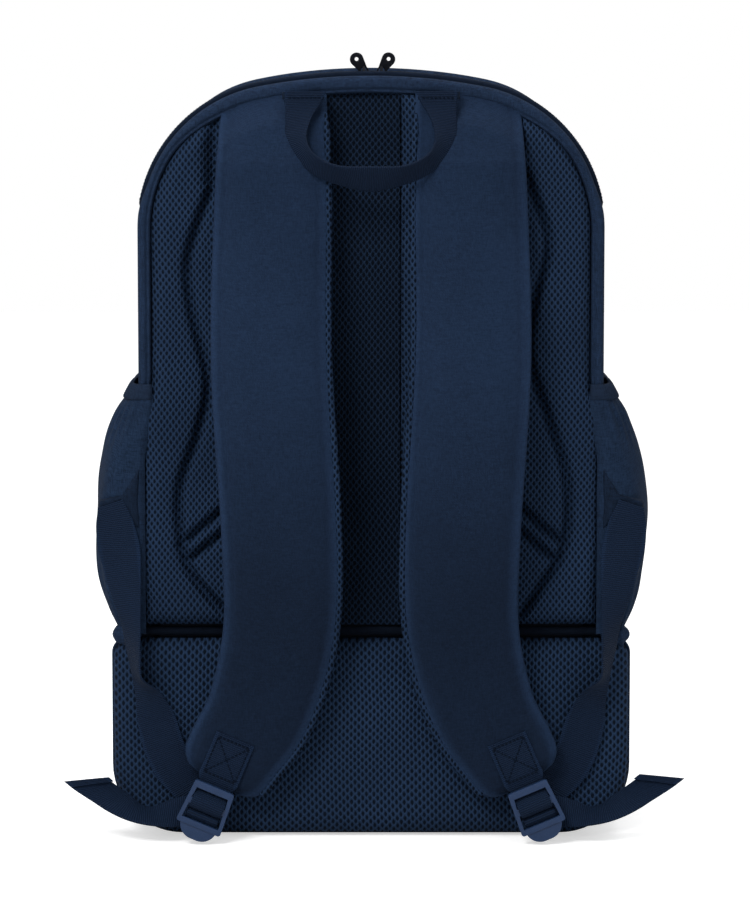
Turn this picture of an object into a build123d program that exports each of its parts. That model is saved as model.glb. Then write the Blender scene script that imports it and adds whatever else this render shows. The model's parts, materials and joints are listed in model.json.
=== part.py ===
from build123d import *
import os
from math import atan2, cos, degrees, radians, sin

# Racket backpack, standing on its base, harness side facing -Y, millimetres.
# x runs across the pack, y from the harness (-) to the front pocket (+), z up.

# ---- outline of the pack, seen from the harness side ----
TOP = 488.0
HALF_WIDTH = 149.0
CROWN_R = 380.0
SHOULDER_R = 95.0
SHOULDER_X = HALF_WIDTH - SHOULDER_R
SHOULDER_RISE = ((CROWN_R - SHOULDER_R) ** 2 - SHOULDER_X ** 2) ** 0.5
CROWN_Z = TOP - CROWN_R
SHOULDER_Z = CROWN_Z + SHOULDER_RISE
WAIST_Z = 128.0
LOWER_HALF = 166.0
LOWER_CORNER = 45.0

# ---- depths, from the harness to the front ----
PAD_FRONT = -96.0
LUMBAR_FRONT = -94.0
BAND_FRONT = -92.0
CHANNEL_FRONT = -89.0
BOARD_FRONT = -84.0
BOARD_BACK = -78.0
ZIP_Y = -75.15
PACK_FRONT = 85.0
POCKET_FRONT = 114.0

# ---- fabric and fittings ----
WALL = 2.5
BAND_IN = 14.0
BAND_OUT = 1.5
GUSSET_IN = 8.0
FRONT_ROUND = 30.0
GAP = 0.3
WEB = 25.0
WEB_THICK = 1.6
STRAP_FRONT = -113.0
STRAP_BACK = -101.0

# ---- lid of the main compartment ----
HINGE_Z = 338.0
ZIP_CORNER_Z = 407.0
ZIP_HALF = 2.85
ZIP_END_Y = 50.0

# ---- strap joint, haul loop ----
STRAP_SPLIT_Z = 403.0
STRAP_FLAT_Z = 75.0
STRAP_BULGE = 24.0
LOOP_PIVOT_Z = 466.0
LOOP_PIVOT_Y = -104.8

# ---- front flaps ----
SHOE_FRONT = 88.0
SHOE_FLAP_FACE = 92.0
SHOE_HINGE_Z = 14.0
SHOE_FLAP_TOP = 112.0
POCKET_HALF = 112.0
POCKET_LOW = 138.0
POCKET_HIGH = 318.0
POCKET_FLAP_FACE = 118.0
POCKET_HINGE_Z = 146.0
POCKET_FLAP_TOP = 306.0

parts = {}


def outline(inset, bottom):
    """The arched outline: crown arc, two shoulder arcs, straight sides."""
    crown = CROWN_R - inset
    shoulder = SHOULDER_R - inset
    half = HALF_WIDTH - inset
    lean = atan2(SHOULDER_X, SHOULDER_RISE)
    knee = (lean + radians(90)) / 2
    meet_x = crown * sin(lean)
    meet_z = CROWN_Z + crown * cos(lean)
    knee_x = SHOULDER_X + shoulder * sin(knee)
    knee_z = SHOULDER_Z + shoulder * cos(knee)
    edges = [
        Line((-half, bottom), (-half, SHOULDER_Z)),
        ThreePointArc((-half, SHOULDER_Z), (-knee_x, knee_z), (-meet_x, meet_z)),
        ThreePointArc((-meet_x, meet_z), (0, CROWN_Z + crown), (meet_x, meet_z)),
        ThreePointArc((meet_x, meet_z), (knee_x, knee_z), (half, SHOULDER_Z)),
        Line((half, SHOULDER_Z), (half, bottom)),
        Line((half, bottom), (-half, bottom)),
    ]
    return make_face(edges)


def panel(x_low, x_high, z_low, z_high, low_round=0, high_round=0):
    """A rectangle in x and z whose low and high corners are rounded."""
    face = Pos((x_low + x_high) / 2, (z_low + z_high) / 2) * Rectangle(x_high - x_low, z_high - z_low)
    if low_round:
        face = fillet(face.vertices().group_by(Axis.Y)[0], low_round)
    if high_round:
        face = fillet(face.vertices().group_by(Axis.Y)[-1], high_round)
    return face


def lower_outline(inset):
    """The wide lower section: round bottom corners, small top corners."""
    half = LOWER_HALF - inset
    return panel(-half, half, inset, WAIST_Z - inset, LOWER_CORNER - inset, 14 - inset)


def slab(face, y_near, y_far):
    """An outline drawn in x and z, made solid between two depths."""
    plane = Plane(origin=(0, y_far, 0), x_dir=(1, 0, 0), z_dir=(0, -1, 0))
    return extrude(plane * face, y_far - y_near)


def profile(points, x_low, x_high):
    """A polygon drawn in y and z, made solid between two places across the pack."""
    plane = Plane(origin=(x_low, 0, 0), x_dir=(0, 1, 0), z_dir=(1, 0, 0))
    return extrude(plane * make_face(Polyline(*points, close=True)), x_high - x_low)


def block(x_low, x_high, y_low, y_high, z_low, z_high):
    """A plain rectangular block between two corners."""
    middle = Pos((x_low + x_high) / 2, (y_low + y_high) / 2, (z_low + z_high) / 2)
    return middle * Box(x_high - x_low, y_high - y_low, z_high - z_low)


def ribbon(stations, thick):
    """A flat band lofted through pairs of points on its two edges."""
    pairs = [(Vector(*low), Vector(*high)) for low, high in stations]
    middles = [(low + high) * 0.5 for low, high in pairs]
    last = len(pairs) - 1
    sections = []
    for i, (low, high) in enumerate(pairs):
        ahead = middles[min(i + 1, last)] - middles[max(i - 1, 0)]
        lift = ahead.cross(high - low).normalized() * (thick / 2)
        corners = [low + lift, high + lift, high - lift, low - lift]
        sections.append(Wire.make_polygon(corners, close=True))
    return Solid.make_loft(sections, ruled=True)


def both_sides(name, left):
    """Keep the left piece and its mirror image under left_ and right_ names."""
    parts["left_" + name] = left
    parts["right_" + name] = mirror(left, about=Plane.YZ)


# ---- main compartment: shell, lid and the zip between them ----
def pack_solid(inset):
    """The upper pack as one solid with a rounded front, shrunk by inset."""
    front = PACK_FRONT - inset
    solid = slab(outline(GUSSET_IN + inset, WAIST_Z + WALL), BOARD_BACK, front)
    rim = solid.faces().sort_by(Axis.Y)[-1].edges().sort_by(Axis.Z)[1:]
    return fillet(rim, FRONT_ROUND - inset)


def lid_region(shift):
    """All the space above the opening line, moved away from it by shift."""
    corner_y = ZIP_Y + shift
    return profile(
        [
            (corner_y, ZIP_CORNER_Z + shift),
            (corner_y, TOP + 40),
            (PACK_FRONT + 40, TOP + 40),
            (PACK_FRONT + 40, HINGE_Z + shift),
            (PACK_FRONT, HINGE_Z + shift),
        ],
        -LOWER_HALF,
        LOWER_HALF,
    )


shell = pack_solid(0) - pack_solid(WALL)
zip_ring = slab(outline(BAND_OUT - 1, WAIST_Z) - outline(GUSSET_IN, WAIST_Z), BOARD_BACK, ZIP_END_Y)
parts["main_shell"] = shell - lid_region(-GAP / 2) - block(-200, 200, -90, ZIP_Y, ZIP_CORNER_Z - GAP, 600)
parts["lid_shell"] = shell & lid_region(ZIP_HALF - 0.05)
parts["lid_zip_tape"] = zip_ring & (lid_region(GAP / 2) - lid_region(ZIP_HALF))
parts["body_zip_tape"] = zip_ring & (lid_region(-ZIP_HALF) - lid_region(-GAP / 2))

# ---- back: board, padded panels, edge binding ----
parts["back_board"] = slab(outline(BAND_IN, WAIST_Z), BOARD_FRONT, BOARD_BACK)
band = outline(BAND_OUT, WAIST_Z + 8) - outline(BAND_IN, WAIST_Z - 20)
parts["edge_binding"] = slab(band, BAND_FRONT, BOARD_BACK)
pad_face = outline(BAND_IN + 1, WAIST_Z + 8)
parts["left_back_pad"] = slab(pad_face & panel(-160, -29.5, 0, 600), PAD_FRONT, BOARD_FRONT)
parts["right_back_pad"] = slab(pad_face & panel(18.5, 160, 0, 600), PAD_FRONT, BOARD_FRONT)
parts["air_channel_pad"] = slab(pad_face & panel(-29, 18, 0, 600), CHANNEL_FRONT, BOARD_FRONT)
parts["lumbar_pad"] = slab(lower_outline(4), LUMBAR_FRONT, BOARD_FRONT)
parts["lumbar_board"] = slab(lower_outline(4), BOARD_FRONT, BOARD_BACK)
parts["lumbar_binding"] = slab(lower_outline(0) - lower_outline(4), BOARD_FRONT, BOARD_BACK)
roll = Cylinder(3.6, 2 * LOWER_HALF - 2, rotation=(0, 90, 0))
parts["waist_piping"] = Pos(0, BAND_FRONT + 4, WAIST_Z + 3.8) * roll

# ---- lower section: shoe compartment with its own floor and flap ----
lower_shell = slab(lower_outline(0), BOARD_BACK, SHOE_FRONT) - slab(lower_outline(WALL), -90, 100)
parts["shoe_shell"] = lower_shell
parts["shoe_floor_board"] = block(-118, 118, BOARD_BACK + 1, SHOE_FRONT - 4, WALL, WALL + 2)
shoe_flap_face = panel(-148, 148, SHOE_HINGE_Z, SHOE_FLAP_TOP, 34, 12)
shoe_hole = panel(-146, 146, SHOE_HINGE_Z + 2, SHOE_FLAP_TOP - 2, 32, 10)
parts["shoe_front_frame"] = slab(lower_outline(0) - shoe_hole, SHOE_FRONT, SHOE_FRONT + 1.5)
shoe_rim = panel(-148 - GAP, 148 + GAP, SHOE_HINGE_Z - GAP, SHOE_FLAP_TOP + GAP, 34, 12)
parts["shoe_zip_tape"] = slab(
    panel(-154, 154, SHOE_HINGE_Z + 40, SHOE_FLAP_TOP + 5, 0, 16) - shoe_rim, SHOE_FRONT + 1.5, SHOE_FLAP_FACE
)
parts["shoe_flap"] = slab(shoe_flap_face, SHOE_FRONT + 1.5 + GAP, SHOE_FLAP_FACE)
parts["compartment_floor"] = block(-141, 141, BOARD_BACK, PACK_FRONT, WAIST_Z, WAIST_Z + WALL)

# ---- racket sleeve against the back board ----
sleeve = block(-118, 118, BOARD_BACK, -56, WAIST_Z + WALL, 402)
parts["racket_sleeve"] = sleeve - block(-115.5, 115.5, BOARD_BACK - 1, -58.5, WAIST_Z + WALL + 3, 410)

# ---- front pocket with its flap ----
pocket = slab(panel(-POCKET_HALF, POCKET_HALF, POCKET_LOW, POCKET_HIGH, 24, 24), PACK_FRONT, POCKET_FRONT)
inside = panel(-POCKET_HALF + 3, POCKET_HALF - 3, POCKET_LOW + 3, POCKET_HIGH - 3, 21, 21)
parts["front_pocket_shell"] = pocket - slab(inside, PACK_FRONT - 1, POCKET_FRONT - WALL)
flap_hole = panel(-96, 96, POCKET_HINGE_Z + 2, POCKET_FLAP_TOP - 2, 16, 16)
parts["front_pocket_shell"] -= slab(flap_hole, POCKET_FRONT - WALL - 1, POCKET_FRONT + 1)
pocket_flap_face = panel(-98, 98, POCKET_HINGE_Z, POCKET_FLAP_TOP, 18, 18)
pocket_rim = panel(-98 - GAP, 98 + GAP, POCKET_HINGE_Z - GAP, POCKET_FLAP_TOP + GAP, 18, 18)
parts["front_pocket_zip_tape"] = slab(
    panel(-103, 103, POCKET_HINGE_Z + 30, POCKET_FLAP_TOP + 5, 0, 22) - pocket_rim, POCKET_FRONT, POCKET_FLAP_FACE
)
parts["front_pocket_flap"] = slab(pocket_flap_face, POCKET_FRONT + GAP, POCKET_FLAP_FACE)


# ---- side pockets with elastic mouths ----
def pocket_side(shift, low, high):
    """Half of the pocket's bulged cross-section, in x and z, on the left side."""
    inner_x = -(HALF_WIDTH - GUSSET_IN)
    curve = Spline(
        (-151.5 + shift, high),
        (-167 + shift, 258),
        (-173.5 + shift, 205),
        (-170 + shift, 160),
        (-163 + shift, low),
    )
    edges = [curve, Line((-163 + shift, low), (inner_x, low)), Line((inner_x, low), (inner_x, high))]
    edges.append(Line((inner_x, high), (-151.5 + shift, high)))
    return make_face(edges)


POCKET_MOUTH_Z = 280.0
pocket_outer = slab(pocket_side(0, WAIST_Z + 8, POCKET_MOUTH_Z), -70, 62)
pocket_inner = slab(pocket_side(2.4, WAIST_Z + 11, POCKET_MOUTH_Z + 2), -67.6, 59.6)
both_sides("side_pocket", pocket_outer - pocket_inner)
hem_outer = block(-152.5, -141, -70, 62, POCKET_MOUTH_Z, POCKET_MOUTH_Z + 10)
both_sides("pocket_hem", hem_outer - block(-149, -140, -67, 59, POCKET_MOUTH_Z - 1, POCKET_MOUTH_Z + 11))

# ---- shoulder straps ----
STRAP_LINE = [
    (-61, 472, 33),
    (-62, 405, 36),
    (-63, 311, 37),
    (-57, 209, 37),
    (-57, 140, 36),
    (-69, 88, 34),
    (-86, 58, 31),
    (-98, 38, 28),
]


def strap_face():
    """The strap seen from the harness side: two long curves and a blunt end."""
    low_edge = []
    high_edge = []
    for i, (x, z, half) in enumerate(STRAP_LINE):
        before = STRAP_LINE[max(i - 1, 0)]
        after = STRAP_LINE[min(i + 1, len(STRAP_LINE) - 1)]
        ahead = Vector(after[0] - before[0], after[1] - before[1]).normalized()
        aside = Vector(ahead.Y, -ahead.X) * half
        low_edge.append((x + aside.X, z + aside.Y))
        high_edge.append((x - aside.X, z - aside.Y))
    edges = [
        Spline(*low_edge),
        Spline(*high_edge),
        Line(low_edge[0], high_edge[0]),
        Line(low_edge[-1], high_edge[-1]),
    ]
    face = make_face(edges)
    end_corners = face.vertices().sort_by(Axis.Y)[:2]
    return fillet(end_corners, 13)


strap = strap_face()


def bulge(y):
    """The strap's side curve at a depth y: flat ends, standing off the back between."""
    middle_z = (STRAP_SPLIT_Z + STRAP_FLAT_Z) / 2
    ends = [(y, STRAP_SPLIT_Z), (y - STRAP_BULGE, middle_z), (y, STRAP_FLAT_Z)]
    return Spline(*ends, tangents=[(0, -1), (0, -1)])


strap_side = make_face(
    [
        bulge(STRAP_BACK),
        Polyline((STRAP_BACK, STRAP_FLAT_Z), (STRAP_BACK, 0), (STRAP_FRONT, 0), (STRAP_FRONT, STRAP_FLAT_Z)),
        bulge(STRAP_FRONT),
        Line((STRAP_FRONT, STRAP_SPLIT_Z), (STRAP_BACK, STRAP_SPLIT_Z)),
    ]
)
strap_plane = Plane(origin=(-150, 0, 0), x_dir=(0, 1, 0), z_dir=(1, 0, 0))
both_sides("strap_pad", extrude(strap_plane * strap_side, 150) & slab(strap, -200, -80))
strap_root = profile(
    [
        (STRAP_FRONT, STRAP_SPLIT_Z + 0.5),
        (STRAP_BACK, STRAP_SPLIT_Z + 0.5),
        (STRAP_BACK, 430),
        (PAD_FRONT, 452),
        (PAD_FRONT, 480),
        (PAD_FRONT - 3, 480),
        (PAD_FRONT - 4, 463),
        (STRAP_FRONT, 432),
    ],
    -150,
    0,
)
both_sides("strap_root", strap_root & slab(strap & outline(BAND_IN + 4, 300), -130, -80))

# ---- webbing, ladder lock and adjusting tail at each strap's end ----
END_TILT = 23.0
LOCK_X = -104.2
LOCK_Z = 23.5
down_x = -sin(radians(END_TILT))
down_z = -cos(radians(END_TILT))


def at_lock(along, y):
    """A place on the strap's end line: along is measured from the lock's middle."""
    return Pos(LOCK_X + along * down_x, y, LOCK_Z + along * down_z) * Rot(0, END_TILT, 0)


both_sides("strap_end_webbing", at_lock(-31.5, STRAP_FRONT - 0.8) * Box(WEB, WEB_THICK, 30))


def ladder_lock():
    """The three-bar lock: flared frame, top, middle and bottom bars, thumb tab."""
    frame = make_face(Polyline((-13.2, 14.5), (13.2, 14.5), (15, -14), (-15, -14), close=True))
    frame = fillet(frame.vertices(), 1.6)
    tab = Pos(0, -12) * SlotOverall(24, 20)
    body = extrude(frame, 2.0, both=True) + extrude(tab, 1.2, both=True)
    upper = make_face(Polyline((-10.6, 10.2), (10.6, 10.2), (11.4, 3.4), (-11.4, 3.4), close=True))
    lower = make_face(Polyline((-11.6, -0.8), (11.6, -0.8), (12.4, -10.4), (-12.4, -10.4), close=True))
    body -= extrude(upper, 5, both=True)
    body -= extrude(lower, 5, both=True)
    return Plane(origin=(0, 0, 0), x_dir=(1, 0, 0), z_dir=(0, -1, 0)) * body


LOCK_Y = -116.5
both_sides("ladder_lock", at_lock(0, LOCK_Y) * ladder_lock())
tail_stations = [
    ((-112, -106, 8), (-112, -101.2, 30)),
    ((-128, -114, 9.5), (-128.5, -98, 25)),
    ((-142, -119, 12), (-142, -96, 17)),
    ((-159, -112, 14.5), (-159, -96.5, 32)),
    ((-176, -107, 22), (-167, -98, 38)),
    ((-196, -101, 38), (-171, -100, 43)),
]
both_sides("webbing_tail", ribbon(tail_stations, WEB_THICK))
web_stations = [
    ((-173.5, -90, 214), (-148.5, -90, 214)),
    ((-170.5, -97.5, 180), (-146.5, -97.5, 180)),
    ((-166, -98, 148), (-145, -105, 146)),
    ((-151, -95.5, 112), (-146, -115.5, 112)),
    ((-150, -97.2, 78), (-127, -97.8, 84)),
    ((-140, -97.4, 47), (-117, -97.4, 56)),
    ((-126, -97.4, 28), (-104, -97.4, 40)),
]
both_sides("lower_webbing", ribbon(web_stations, WEB_THICK))
tab_face = make_face(Polyline((1.5 - HALF_WIDTH, 236), (1.5 - HALF_WIDTH, 198), (-173, 214), close=True))
both_sides("webbing_anchor_tab", slab(tab_face, -88.8, BOARD_BACK))

# ---- haul loop ----
LOOP_TOP_Z = LOOP_PIVOT_Z + 3
loop_outer = make_face(
    [
        Line((-56, LOOP_TOP_Z), (-55, 448)),
        ThreePointArc((-55, 448), (0, 415), (55, 448)),
        Line((55, 448), (56, LOOP_TOP_Z)),
        Line((56, LOOP_TOP_Z), (-56, LOOP_TOP_Z)),
    ]
)
loop_inner = make_face(
    [
        Line((-31, LOOP_TOP_Z + 1), (-33, 448)),
        ThreePointArc((-33, 448), (0, 433), (33, 448)),
        Line((33, 448), (31, LOOP_TOP_Z + 1)),
        Line((31, LOOP_TOP_Z + 1), (-31, LOOP_TOP_Z + 1)),
    ]
)
loop_drape = profile(
    [
        (LOOP_PIVOT_Y + 1.2, LOOP_PIVOT_Z - 0.5),
        (-114.5, 434),
        (-114.5, 405),
        (-116.6, 405),
        (-116.6, 434.5),
        (LOOP_PIVOT_Y - 1, LOOP_PIVOT_Z + 1),
    ],
    -70,
    70,
)
parts["haul_loop"] = loop_drape & slab(loop_outer - loop_inner, -130, -90)
stitch = block(-55, -31, LOOP_PIVOT_Y + 1.5, PAD_FRONT, LOOP_PIVOT_Z + 3.6, LOOP_PIVOT_Z + 7)
both_sides("haul_loop_end", stitch)


# ---- zip sliders and their pullers ----
def zip_slider(width, length):
    """A slider's top plate with the bridge that its puller hangs on, at the origin."""
    plate = Pos(0, 0, 1) * Box(width, length, 2)
    plate = fillet(plate.edges().filter_by(Axis.Z), 1.5)
    bridge = Pos(0, 0, 4) * Box(1.8, length - 2, 4) - Pos(0, 0, 3.6) * Box(3, length - 5, 3.2)
    return plate + bridge


def zip_puller():
    """A flat teardrop puller standing on its eye, at the origin."""
    head = Pos(0, 8.4) * Circle(4.3) + make_face(Polyline((-2.6, 0), (2.6, 0), (4.2, 7.6), (-4.2, 7.6), close=True))
    head += Circle(2.9)
    head -= Circle(1.9)
    head -= Pos(0, 8.6) * Circle(2.0)
    plate = extrude(head, 0.8, both=True)
    return Plane(origin=(0, 0, 0), x_dir=(1, 0, 0), z_dir=(0, -1, 0)) * plate


ZIP_RADIUS = CROWN_R - BAND_OUT + 1.4
BRIDGE_MID = 5.6
for side, slider_x, lean in (("left", -7.0, -32), ("right", 9.5, 30)):
    turn = degrees(atan2(slider_x, ZIP_RADIUS))
    seat = Pos(0, ZIP_Y, CROWN_Z) * Rot(0, turn, 0) * Pos(0, 0, ZIP_RADIUS)
    parts[side + "_main_slider"] = seat * zip_slider(8, 9)
    parts[side + "_main_puller"] = seat * Pos(0, 0, BRIDGE_MID) * Rot(0, lean, 0) * zip_puller()

FRONT_ZIPS = (("shoe", 120, SHOE_FLAP_FACE, SHOE_FLAP_TOP), ("front_pocket", 70, POCKET_FLAP_FACE, POCKET_FLAP_TOP))
for name, slider_x, face_y, edge_z in FRONT_ZIPS:
    seat = Pos(-slider_x, face_y + GAP, edge_z) * Rot(-90, 0, 0) * Rot(0, 0, 90)
    parts[name + "_slider"] = seat * zip_slider(8, 9)
    hang = Pos(-slider_x, face_y + GAP + BRIDGE_MID, edge_z) * Rot(180, 0, 0) * Rot(0, 0, 90)
    parts[name + "_puller"] = hang * zip_puller()

os.makedirs("parts", exist_ok=True)
for name, shape in parts.items():
    export_step(shape, "parts/" + name + ".step")
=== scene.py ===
"""A racket backpack: its fabric, air mesh, webbing, zips and fittings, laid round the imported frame."""
import json
from math import asin, cos, pi, radians, sin

import bmesh
import bpy
import numpy as np
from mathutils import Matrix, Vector


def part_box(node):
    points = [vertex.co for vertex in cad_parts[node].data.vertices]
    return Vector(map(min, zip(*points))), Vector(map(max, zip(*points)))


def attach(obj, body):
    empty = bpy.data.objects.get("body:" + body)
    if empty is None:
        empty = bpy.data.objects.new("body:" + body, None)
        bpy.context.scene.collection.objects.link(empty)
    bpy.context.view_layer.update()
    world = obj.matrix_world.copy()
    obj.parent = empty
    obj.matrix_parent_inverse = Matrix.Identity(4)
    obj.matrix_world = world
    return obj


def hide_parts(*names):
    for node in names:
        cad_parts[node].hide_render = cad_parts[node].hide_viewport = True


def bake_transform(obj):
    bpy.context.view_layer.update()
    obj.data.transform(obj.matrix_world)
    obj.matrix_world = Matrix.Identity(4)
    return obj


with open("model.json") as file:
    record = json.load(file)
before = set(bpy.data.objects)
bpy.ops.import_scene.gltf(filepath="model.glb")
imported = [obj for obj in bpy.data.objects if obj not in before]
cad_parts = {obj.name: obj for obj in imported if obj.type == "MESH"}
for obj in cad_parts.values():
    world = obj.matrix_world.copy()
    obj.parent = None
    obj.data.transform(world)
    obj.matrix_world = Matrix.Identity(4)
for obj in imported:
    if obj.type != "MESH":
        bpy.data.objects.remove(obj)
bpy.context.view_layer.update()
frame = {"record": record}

MM = 0.001


# ---------------------------------------------------------------- sizes, in millimetres
def box_mm(node):
    """The lowest and highest corners of a frame node, in millimetres."""
    low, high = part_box(node)
    return np.array(low) / MM, np.array(high) / MM


BAND_LOW, BAND_HIGH = box_mm("edge_binding")
BAND_OUT = 1.5
BAND_IN = 14.0
HALF = BAND_HIGH[0] + BAND_OUT
TOP = BAND_HIGH[2] + BAND_OUT
CROWN_R = 380.0
SHOULDER_R = 95.0
SHOULDER_X = HALF - SHOULDER_R
LEAN = asin(SHOULDER_X / (CROWN_R - SHOULDER_R))
CROWN_Z = TOP - CROWN_R
SHOULDER_Z = CROWN_Z + (CROWN_R - SHOULDER_R) * cos(LEAN)
BOARD_Y = box_mm("back_board")[0][1]
BACK_Y = box_mm("back_board")[1][1]
PAD_Y = box_mm("left_back_pad")[0][1]
CHANNEL_Y = box_mm("air_channel_pad")[0][1]
CHANNEL_LEFT = box_mm("air_channel_pad")[0][0]
CHANNEL_RIGHT = box_mm("air_channel_pad")[1][0]
LUMBAR_LOW, LUMBAR_HIGH = box_mm("lumbar_pad")
LOWER_HALF = box_mm("shoe_shell")[1][0]
WAIST_Z = box_mm("shoe_shell")[1][2]
SHOE_Y = box_mm("shoe_shell")[1][1]
PACK_FRONT = box_mm("main_shell")[1][1]
GUSSET_IN = HALF - box_mm("main_shell")[1][0]
FLOOR_Z = box_mm("main_shell")[0][2]
HINGE_Z = frame["record"]["behaviour"]["joints"][0]["pos_m"][2] / MM
ZIP_Y = -75.15
ZIP_CORNER_Z = 407.0
ZIP_END_Y = 50.0
FRONT_ROUND = 30.0
ZIP_IN = 2.2
COIL_PITCH = 2.3
STRAP_Y = -107.0
STRAP_BULGE = 24.0
STRAP_SPLIT_Z = 403.0
STRAP_FLAT_Z = 75.0
STRAP_SPREAD_Z = 404.0
STRAP_TUCK = 8.0
STRAP_END_ROUND = 13.0
STITCH_PITCH = 2.6
BINDING_SHADE_Z = 276.0
SIDES = (("left", -1), ("right", 1))


# ---------------------------------------------------------------- mesh helpers
def quads(rows, columns, close_rows=False, close_columns=False):
    """Quad corner numbers over a grid, as one array."""
    r = np.arange(rows if close_rows else rows - 1)
    c = np.arange(columns if close_columns else columns - 1)
    a, b = np.meshgrid(r, c, indexing="ij")
    a_next = (a + 1) % rows
    b_next = (b + 1) % columns
    corners = [a * columns + b, a * columns + b_next, a_next * columns + b_next, a_next * columns + b]
    return np.stack(corners, -1).reshape(-1, 4)


def tube_ends(rows, columns):
    """The end faces of a grid that is closed across its columns: its first and its last row of points."""
    return [np.arange(columns)[::-1], np.arange(columns) + (rows - 1) * columns]


def build(name, points, faces, finishes, caps=(), finish_of_face=None, marks=None, merge=0.02):
    """A smooth mesh from points in millimetres, with outward normals and optional point attributes."""
    points = np.asarray(points, float).reshape(-1, 3)
    mesh = bpy.data.meshes.new(name)
    polygons = [list(map(int, f)) for f in faces] + [list(map(int, c)) for c in caps]
    mesh.from_pydata((points * MM).tolist(), [], polygons)
    for mark, values in (marks or {}).items():
        layer = mesh.attributes.new(mark, "FLOAT", "POINT")
        layer.data.foreach_set("value", np.asarray(values, np.float32).ravel())
    for finish in finishes:
        mesh.materials.append(finish)
    if finish_of_face is not None:
        slots = np.zeros(len(polygons), np.int32)
        slots[: len(finish_of_face)] = finish_of_face
        mesh.polygons.foreach_set("material_index", slots)
    work = bmesh.new()
    work.from_mesh(mesh)
    bmesh.ops.remove_doubles(work, verts=work.verts, dist=merge * MM)
    bmesh.ops.recalc_face_normals(work, faces=work.faces)
    work.to_mesh(mesh)
    work.free()
    mesh.shade_smooth()
    piece = bpy.data.objects.new(name, mesh)
    bpy.context.scene.collection.objects.link(piece)
    return piece


def blocks(name, shells, finish):
    """A row of small closed solids: each shell holds one ring of points for every solid."""
    points = np.stack(shells, 1)
    count, rows, columns = points.shape[:3]
    first = np.arange(count)[:, None, None] * rows * columns
    faces = (quads(rows, columns, close_columns=True)[None] + first).reshape(-1, 4)
    ends = [np.arange(columns)[::-1] + i * rows * columns for i in range(count)]
    ends += [np.arange(columns) + (i * rows + rows - 1) * columns for i in range(count)]
    return build(name, points, faces, [finish], ends, merge=0.0001)


def place(piece, body, replaced=(), across=None):
    """Rides the piece on its body, or, where it crosses a joint, bakes its place into its mesh; hides the
    nodes it replaces.
    """
    if replaced:
        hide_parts(*replaced)
    if across is None:
        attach(piece, body)
    else:
        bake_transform(piece)
    return piece


def thicken(piece, thickness, lining=0):
    """Gives an open cloth surface a wall on its inner side."""
    wall = piece.modifiers.new("wall", "SOLIDIFY")
    wall.thickness = thickness * MM
    wall.offset = -1
    wall.material_offset = lining
    return piece


def length_along(points):
    """The length run from the first point of an open line to each of its points."""
    return np.concatenate([[0], np.cumsum(np.linalg.norm(np.diff(points, axis=0), axis=1))])


def at_lengths(points, run, at):
    """The places on a line at the given lengths."""
    return np.stack([np.interp(at, run, column) for column in points.T], -1)


def smooth_line(points, count):
    """A Catmull-Rom curve through the points, spaced evenly in its parameter."""
    p = np.asarray(points, float)
    p = np.vstack([2 * p[0] - p[1], p, 2 * p[-1] - p[-2]])
    t = np.linspace(0, len(p) - 3 - 1e-9, count)
    i = t.astype(int)
    f = (t - i)[:, None]
    a, b, c, d = p[i], p[i + 1], p[i + 2], p[i + 3]
    return 0.5 * (2 * b + (c - a) * f + (2 * a - 5 * b + 4 * c - d) * f**2 + (3 * b - a - 3 * c + d) * f**3)


def even_line(points, count):
    """The same curve, spaced evenly by length."""
    fine = smooth_line(points, 40 * len(points))
    run = length_along(fine[:, :3])
    at = np.linspace(0, run[-1], count)
    return at_lengths(fine, run, at)


def unit(vectors):
    """Each row at length one."""
    return vectors / np.maximum(np.linalg.norm(vectors, axis=-1, keepdims=True), 1e-9)


def soft_noise(x, y, scale, seed=0.0):
    """A smooth ripple in -1..1, (sin a + sin b + 0.6 sin c + 0.6 sin d) / 3.2, the same on every run."""
    a = np.sin(x / scale * 1.7 + y / scale * 0.9 + seed)
    b = np.sin(x / scale * 0.8 - y / scale * 1.9 + 2.1 * seed + 1.0)
    c = np.sin(x / scale * 2.9 + y / scale * 2.3 + 0.7 * seed + 4.0)
    d = np.sin(-x / scale * 2.2 + y / scale * 3.1 + 1.3 * seed + 2.0)
    return (a + b + 0.6 * c + 0.6 * d) / 3.2


def ramp(value, low, high):
    """0 below low, 1 above high, and t^2 (3 - 2 t) between."""
    t = np.clip((value - low) / (high - low), 0, 1)
    return t * t * (3 - 2 * t)


# ---------------------------------------------------------------- the arched outline
def arch(foot, count):
    """Points and outward normals, as x and z, along the arch from its left foot to its right, by length."""
    side = SHOULDER_Z - foot
    shoulder = SHOULDER_R * (pi / 2 - LEAN)
    crown = CROWN_R * 2 * LEAN
    marks = np.cumsum([0, side, shoulder, crown, shoulder, side])
    s = np.linspace(0, marks[-1], count)
    angle = np.interp(s, marks, [-pi / 2, -pi / 2, -LEAN, LEAN, pi / 2, pi / 2])
    radius = np.where(abs(angle) < LEAN, CROWN_R, SHOULDER_R)
    centre_x = np.where(abs(angle) < LEAN, 0, SHOULDER_X * np.sign(angle))
    centre_z = np.where(abs(angle) < LEAN, CROWN_Z, SHOULDER_Z)
    drop = np.maximum(side - s, 0) + np.maximum(s - marks[4], 0)
    out = np.stack([np.sin(angle), np.cos(angle)], -1)
    base = np.stack([centre_x + radius * out[:, 0], centre_z + radius * out[:, 1] - drop], -1)
    return base, out, s


def arch_depth(x, z):
    """How far a point lies inside the arched outline."""
    rise = np.maximum(z - CROWN_Z, 1e-6)
    on_crown = abs(x) / rise < np.tan(LEAN)
    crown = CROWN_R - np.hypot(x, rise)
    shoulder = SHOULDER_R - np.hypot(abs(x) - SHOULDER_X, z - SHOULDER_Z)
    return np.where(z < SHOULDER_Z, HALF - abs(x), np.where(on_crown, crown, shoulder))


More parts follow.
